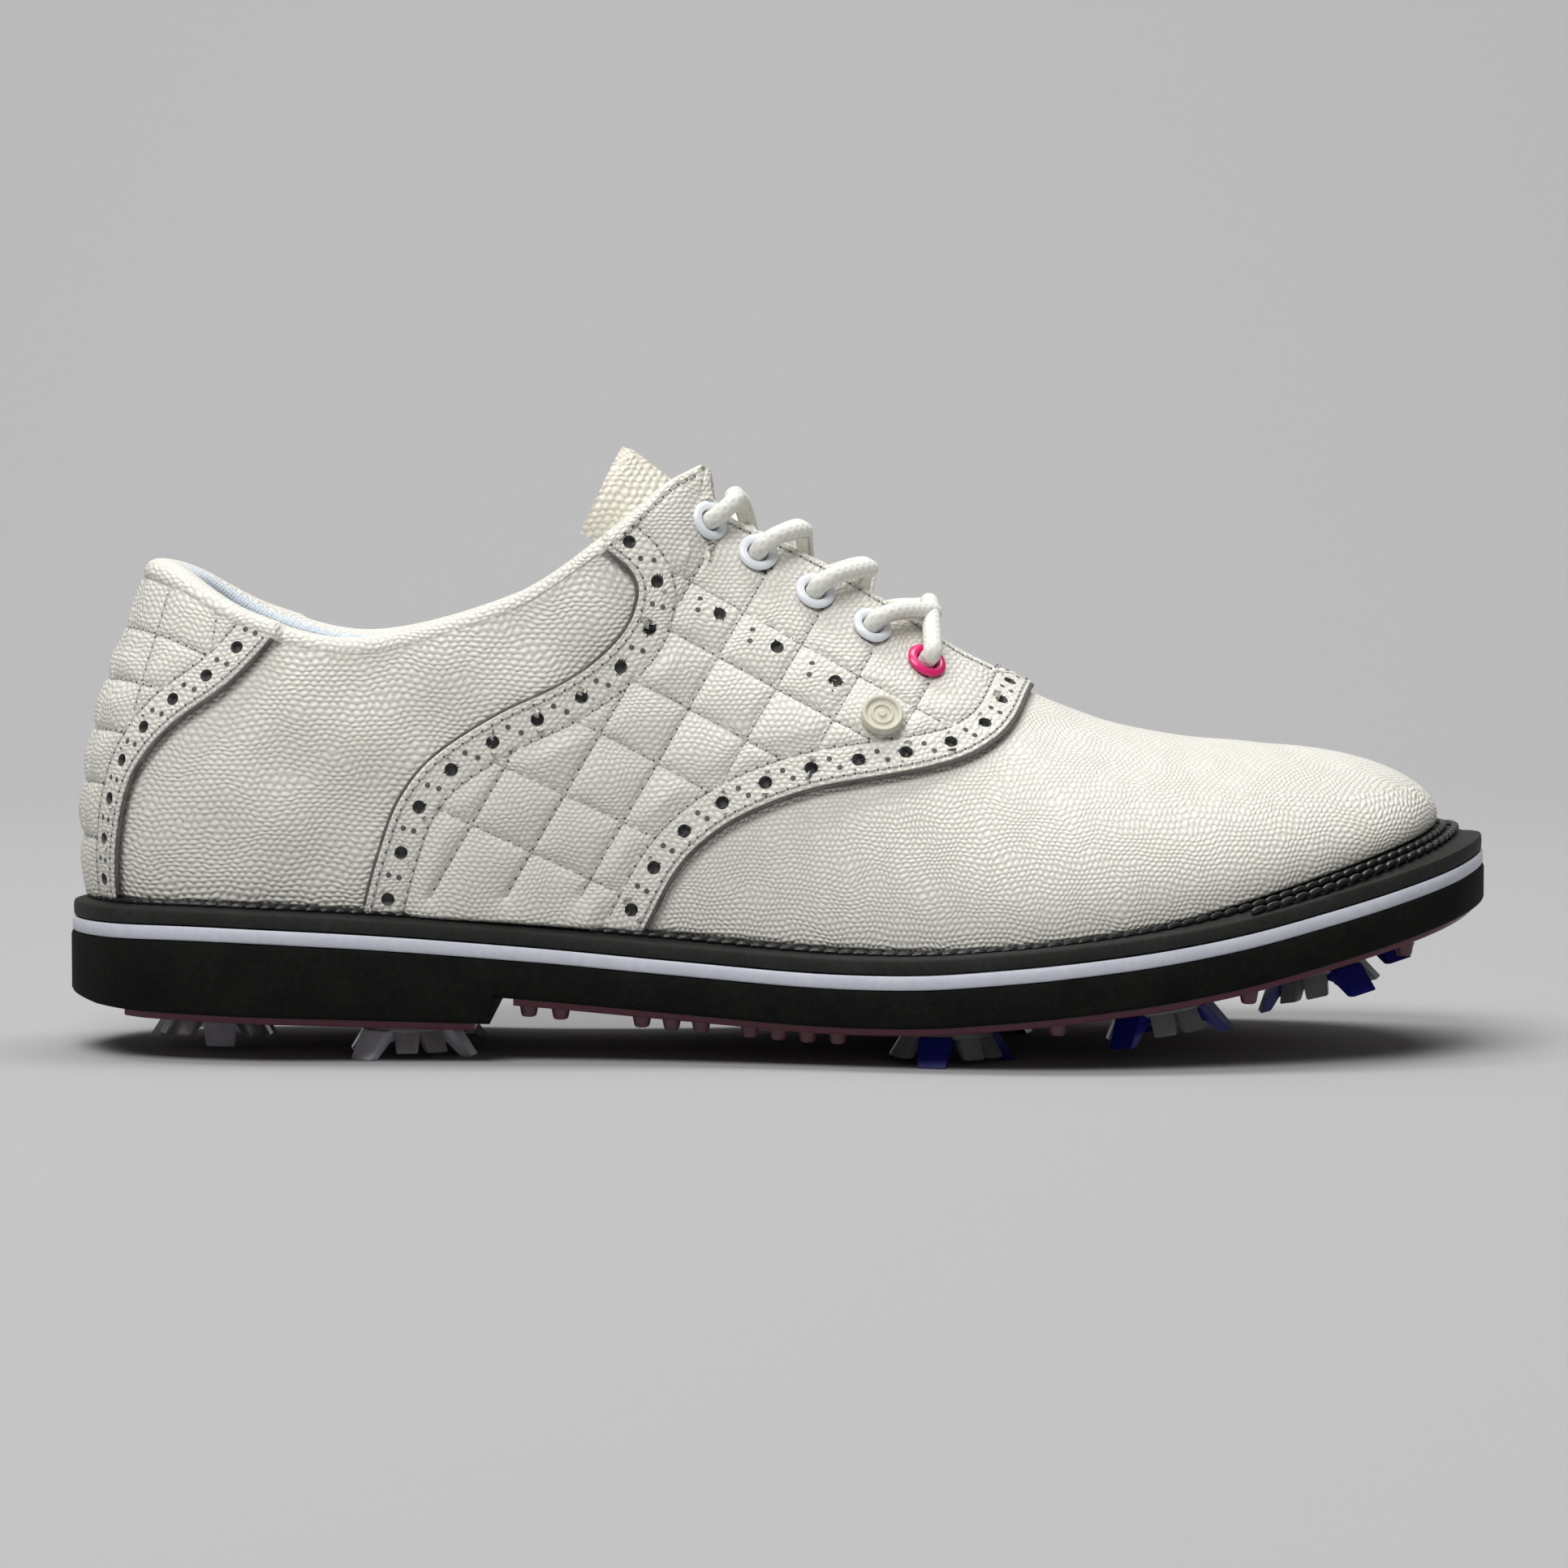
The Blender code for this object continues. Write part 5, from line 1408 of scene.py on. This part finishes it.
def make_lace(m, frames):
    route = np.array([tuple(p) for p in lace_route(frames)])
    smooth = catmull(route, 1500)
    run = run_along(smooth)
    even = np.linspace(0, run[-1], int(run[-1] / 0.7))
    path = np.column_stack([np.interp(even, run, smooth[:, k]) for k in range(3)])
    points, faces, uvs = swept(path, LACE_R, 18)
    lace = mesh_object("lace_braid", points, faces, [m["lace"]], uvs=uvs, sharp=60)
    finished(lace, "lace_cotton", "lace")
    for name, tip, before in (("lateral", route[0], route[1]), ("medial", route[-1], route[-2])):
        matrix = in_mm(frame_at(tip, tip - before))
        profile = [(0, 18), (1.3, 18), (1.75, 17.4), (2.0, 15.5), (2.05, 1.0), (1.95, -1.5), (0, -1.5)]
        aglet = turned(f"aglet_{name}_tip", profile, matrix, m["clear"], steps=24)
        finished(aglet, "clear_tpu", f"aglet_{name}")


def make_badge(m):
    """A round rubber badge with a raised rim and plain concentric rings."""
    (u, v), = locate([BADGE])
    profile = [(0, 1.75), (0.7, 1.7), (1.0, 1.35), (1.7, 1.3), (1.95, 1.65), (2.35, 1.65), (2.6, 1.3),
               (3.2, 1.3), (3.45, 1.85), (3.75, 2.0), (4.1, 1.95), (4.35, 1.6), (4.4, 0.2), (0, 0.2)]
    matrix = in_mm(frame_at(on_last(u, v, OVERLAY[0] + 0.7), last_normal(u, v)))
    badge = turned("round_badge", profile, matrix, m["badge"], steps=56)
    finished(badge, "badge_rubber", "side_badge")


# ---- the sole ----

def strip(name, section, material, slot, node, count=460):
    """A closed strip round the sole. section(edge row) gives its (inset, height) points."""
    rows = np.linspace(0, LOOP, count, endpoint=False)
    points = []
    for e in smooth_loop(EDGE, rows):
        for inset, height in section(e):
            x, y = e[:2] - e[2:4] * inset
            points.append((x, y, sole_z(x) + height))
    size = len(points) // count
    made = mesh_object(name, points, grid_quads(count, size, around=True, closed_rows=True), [material],
                       sharp=50)
    return finished(tidy_mesh(made), slot, node)


def make_welt_and_stripe(m):
    def welt(e):
        """Edge, top against the upper, and underside; e holds the feather line's inset and lift."""
        feather, top = e[4], e[5] - GAP
        return [(0.8, GAP), (0.6, GAP + 0.25), (0.55, 2.0), (0.6, WELT_EDGE - 0.7), (0.8, WELT_EDGE - 0.2),
                (1.3, WELT_EDGE), (2.4, WELT_EDGE + 0.15), (feather, top - 0.2), (feather + 3.5, top),
                (feather + INNER_RING, top), (feather + INNER_RING, GAP)]

    def stripe(e):
        return [(0.55, -STRIPE), (0.3, -STRIPE + 0.3), (0.25, -STRIPE / 2), (0.3, -0.3), (0.55, 0),
                (e[4] + INNER_RING, 0), (e[4] + INNER_RING, -STRIPE)]

    strip("welt_rubber_strip", welt, m["welt"], "welt_rubber", "welt")
    strip("stripe_rubber_strip", stripe, m["stripe"], "stripe_rubber", "white_stripe")


def make_welt_stitching(m):
    """Thick waxed lock stitches on the welt against the upper, with a second row at the toe."""
    parts = []
    for inset, start, stop, pitch in ((1.7, 0, LOOP, 3.1), (4.2, 11.6, LOOP - 11.6, 3.3)):
        rows = np.linspace(start, stop, 3000)
        e = smooth_loop(EDGE, rows)
        share = np.clip((e[:, 4] - inset) / e[:, 4], 0, 1)
        xy = e[:, :2] - e[:, 2:4] * (e[:, 4] - inset)[:, None]
        z = sole_z(xy[:, 0]) + WELT_EDGE + (e[:, 5] - GAP - WELT_EDGE) * share + 0.25
        line = np.column_stack([xy, z])
        run = run_along(line)
        at = np.arange(0, run[-1] - 1, pitch)
        points = np.column_stack([np.interp(at, run, line[:, k]) for k in range(3)])
        along = unit(np.gradient(points, axis=0))
        up = unit(np.array([0, 0, 1.0]) - along * along[:, 2:])
        skew = unit(along + 0.22 * np.cross(up, along))
        parts.append(copies(capsule(pitch * 1.12, 0.72, 8, 0.3), points, skew, up))
    sewn("welt_lockstitch", parts, [m["black_thread"]], "welt_rubber")


def slab(name, rows, profile, material, slot, node):
    """A plate across the sole. profile(edge row) gives its (inset, height) points from the top down."""
    loops = []
    for u in rows:
        halves = []
        for row in (u, LOOP - u):
            e = smooth_loop(EDGE, row)
            halves.append([(*(e[:2] - e[2:4] * inset), z) for inset, z in profile(e)])
        loops.append(halves[0] + halves[1][::-1])
    size = len(loops[0])
    points = [p for loop in loops for p in loop]
    faces = [tuple(f) for f in grid_quads(len(rows), size, closed_rows=True)]
    half = size // 2
    for c in (0, len(rows) - 1):
        start = c * size
        faces += [(start + j, start + j + 1, start + size - 2 - j, start + size - 1 - j)
                  for j in range(half - 1)]
    made = tidy_mesh(mesh_object(name, points, faces, [material], sharp=45), 0.002)
    return finished(made, slot, node)


def make_sole(m):
    breast = row_at(HEEL_BREAST_X)
    rows = np.concatenate([np.linspace(0, breast - 0.02, 110), [breast + 0.02],
                           np.linspace(breast + 0.06, TOE, 260)])

    def midsole(e):
        x = e[0]
        low, high = midsole_bottom(x), sole_z(x) - STRIPE - GAP + 0.2
        return [(1.0, high), (0.25, high - 0.1), (0.0, high - 0.7), (0.0, (high + low) / 2), (0.0, low + 0.9),
                (0.28, low + 0.28), (0.9, low)]

    def plate(bottom):
        def profile(e):
            low = bottom(e[0]) - GAP - OUTSOLE_T
            return [(2.0, low + OUTSOLE_T + GAP), (2.0, low + 0.4), (2.15, low + 0.12), (2.5, low)]
        return profile

    slab("midsole_foam_body", rows, midsole, m["midsole"], "midsole_rubber", "midsole")
    slab("forefoot_plate", np.linspace(row_at(-55), TOE, 150), plate(lambda x: sole_z(x) - MIDSOLE_DROP),
         m["burgundy"], "burgundy_tpu", "outsole_forefoot")
    slab("heel_plate", np.linspace(row_at(-138), row_at(-63), 80), plate(midsole_bottom), m["burgundy"],
         "burgundy_tpu", "outsole_heel")
    places = []
    for x in NUB_ROWS:
        u = row_at(x)
        for row in (u, LOOP - u):
            px, py = inside_edge(NUB_EDGE)(row)
            places.append((px, py, sole_z(px) - MIDSOLE_DROP - GAP - OUTSOLE_T))
    ones = np.ones(len(places))[:, None]
    pegs = copies(lathe(NUB_PROFILE, 20), np.array(places), ones * [1.0, 0, 0], ones * [0, 0, 1.0])
    tidy_mesh(sewn("outsole_pegs", [pegs], [m["nub"]], "burgundy_tpu"))


def make_footbed(m):
    def profile(e):
        x, lift = e[0], e[5]
        base = sole_z(x) + lift + 2.2 + GAP
        inset = 0.6 + 1.9 * e[4]
        return [(inset + 6.0, base + 4.2), (inset + 1.4, base + 4.1), (inset + 0.4, base + 3.7),
                (inset, base + 2.9), (inset, base + 0.2), (inset + 0.4, base)]
    rows = np.linspace(0.02, TOE - 0.02, 200)
    slab("footbed_cushion", rows, profile, m["footbed"], "footbed_foam", "footbed")


# ---- cleats ----

def leg_mesh(bm, profile, width, turn, taper=0.8):
    """A splayed leg: a side profile of (radius, height) points, as wide as given and narrower at the tip."""
    spin = Matrix.Rotation(turn, 4, "Z")
    depth = min(z for _, z in profile)
    sides = []
    for sign in (-1, 1):
        sides.append([bm.verts.new(spin @ Vector((r, sign * width / 2 * (1 - (1 - taper) * z / depth), z)))
                      for r, z in profile])
    faces = [bm.faces.new(sides[0]), bm.faces.new(sides[1][::-1])]
    for j in range(len(profile)):
        k = (j + 1) % len(profile)
        faces.append(bm.faces.new((sides[0][j], sides[1][j], sides[1][k], sides[0][k])))
    bmesh.ops.recalc_face_normals(bm, faces=faces)


def add_lathe(bm, profile, steps=36):
    points, faces = lathe(profile, steps)
    verts = [bm.verts.new(p) for p in points]
    made = []
    for face in faces:
        made.append(bm.faces.new([verts[i] for i in face]))
    bmesh.ops.remove_doubles(bm, verts=verts, dist=0.001)
    bmesh.ops.recalc_face_normals(bm, faces=[f for f in bm.faces if f.is_valid])


def cleat_part(name, bm, matrix, material, body):
    bmesh.ops.bevel(bm, geom=[e for e in bm.edges if e.calc_face_angle(0) > 0.6], offset=0.22, segments=2,
                    affect="EDGES", clamp_overlap=True)
    points = [matrix @ v.co for v in bm.verts]
    bm.verts.index_update()
    faces = [tuple(v.index for v in f.verts) for f in bm.faces]
    bm.free()
    made = mesh_object(name, [tuple(p) for p in points], faces, [material], body)
    return made


def make_cleats(m, frames, heights):
    looks = {"heel": ("white_tpu", "clear", "clear_tpu"), "forefoot": ("blue_tpu", "grey", "blue_tpu")}
    for name, (matrix, turn, kind) in frames.items():
        moving, fixed, slot = looks[kind]
        height = heights[kind]
        place = in_mm(matrix) @ Matrix.Rotation(turn, 4, "Z")
        body = f"cleat_{name}"
        bm = bmesh.new()
        foot = -height + 0.02
        long_leg = [(5.6, -1.2), (10.4, -1.1), (LONG_LEG_R, foot), (LONG_LEG_R - 2.3, foot), (8.8, -3.7),
                    (5.6, -2.9)]
        for third in range(3):
            leg_mesh(bm, long_leg, 7.4, math.radians(120 * third), 0.8)
        long_part = cleat_part(f"{body}_traction_legs", bm, place, m[moving], body)
        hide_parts(body)
        bm = bmesh.new()
        tip = -height + SHORT_LEG_LIFT
        short_leg = [(6.4, -1.3), (9.3, -1.2), (SHORT_LEG_R, tip), (SHORT_LEG_R - 2.1, tip), (7.4, -2.6)]
        for third in range(3):
            for side in (43, 77):
                leg_mesh(bm, short_leg, 5.4, math.radians(120 * third + side), 0.85)
        cleat_part(f"{body}_steady_legs", bm, place, m[fixed], body)
        bm = bmesh.new()
        add_lathe(bm, [(0, 5.3), (STEM_R, 5.3), (STEM_R, -GAP), (FLANGE_R - 0.3, -GAP), (FLANGE_R, -0.7),
                       (FLANGE_R - 0.4, -1.6), (7.6, -2.2), (4.6, -3.0), (4.2, -3.0), (3.9, -2.2), (0, -2.0)])
        cleat_part(f"{body}_hub", bm, place, m[fixed], body)


# ---- hidden nodes, stage ----

def dress_frame_nodes(m):
    """Better materials for the CAD nodes that stay."""
    finishes = {
        "vamp_lining": "lining", "heel_stiffener": "sheet", "toe_puff": "sheet", "collar_padding": "foam",
        "insole_board": "board", "bottom_filler": "cork", "steel_shank": "steel",
    }
    for name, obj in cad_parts.items():
        key = "nylon" if name.startswith("receptacle_") else finishes.get(name)
        if key:
            for place in obj.material_slots:
                place.link = "OBJECT"
                place.material = m[key]


def area_light(name, location, target, size, power):
    data = bpy.data.lights.new(name, "AREA")
    data.shape = "RECTANGLE"
    data.size, data.size_y = size
    data.energy = power
    light = bpy.data.objects.new(name, data)
    light.location = location
    light.rotation_euler = (Vector(target) - Vector(location)).to_track_quat("-Z", "Y").to_euler()
    bpy.context.scene.collection.objects.link(light)


def make_stage():
    """A pale floor that sweeps up into a backdrop, soft lights and the camera."""
    floor = Shader("pale_floor", (FLOOR_ALBEDO,) * 3, 0.9, Specular_IOR_Level=0.0)
    profile = [(-4.0, 0.0), (SWEEP_START, 0.0)]
    profile += [(SWEEP_START + SWEEP_R * math.sin(a), SWEEP_R - SWEEP_R * math.cos(a))
                for a in np.linspace(0.1, math.pi / 2, 24)]
    profile += [(SWEEP_START + SWEEP_R, 5.0)]
    points = [(x, y, z) for x in (-5.0, 5.0) for y, z in profile]
    count = len(profile)
    mesh = bpy.data.meshes.new("studio_floor")
    mesh.from_pydata(points, [], [(j, j + count, j + count + 1, j + 1) for j in range(count - 1)])
    mesh.materials.append(floor.material)
    mesh.shade_smooth()
    obj = bpy.data.objects.new("studio_floor", mesh)
    bpy.context.scene.collection.objects.link(obj)

    world = bpy.data.worlds.new("studio")
    world.use_nodes = True
    ambient = world.node_tree.nodes["Background"].inputs
    ambient["Color"].default_value = (1.0, 1.0, 1.0, 1)
    ambient["Strength"].default_value = AMBIENT
    bpy.context.scene.world = world
    for light in LIGHTS:
        area_light(*light)

    data = bpy.data.cameras.new("camera")
    data.lens = CAMERA_LENS
    data.sensor_width = 36.0
    data.clip_end = 50.0
    camera = bpy.data.objects.new("camera", data)
    tilt = math.radians(CAMERA_TILT)
    camera.location = Vector(CAMERA_AIM) + Vector((0, -math.cos(tilt), math.sin(tilt))) * CAMERA_DISTANCE
    camera.rotation_euler = (math.pi / 2 - tilt, 0, 0)
    bpy.context.scene.collection.objects.link(camera)
    bpy.context.scene.camera = camera
    bpy.context.scene.view_settings.view_transform = "Standard"


def main():
    make_stage()
    m = make_materials()
    frames = eyelet_frames()
    make_quarters(m, frames)
    make_saddles(m, frames)
    make_heel_cover(m)
    make_raw_edges(m)
    make_vamp(m)
    make_lining(m)
    make_top_roll(m)
    make_rim_stitching(m)
    make_tongue(m)
    make_eyelets(m, frames)
    make_lace(m, frames)
    make_badge(m)
    make_welt_and_stripe(m)
    make_welt_stitching(m)
    make_sole(m)
    make_footbed(m)
    cleats, heights = cleat_frames()
    make_cleats(m, cleats, heights)
    dress_frame_nodes(m)


main()
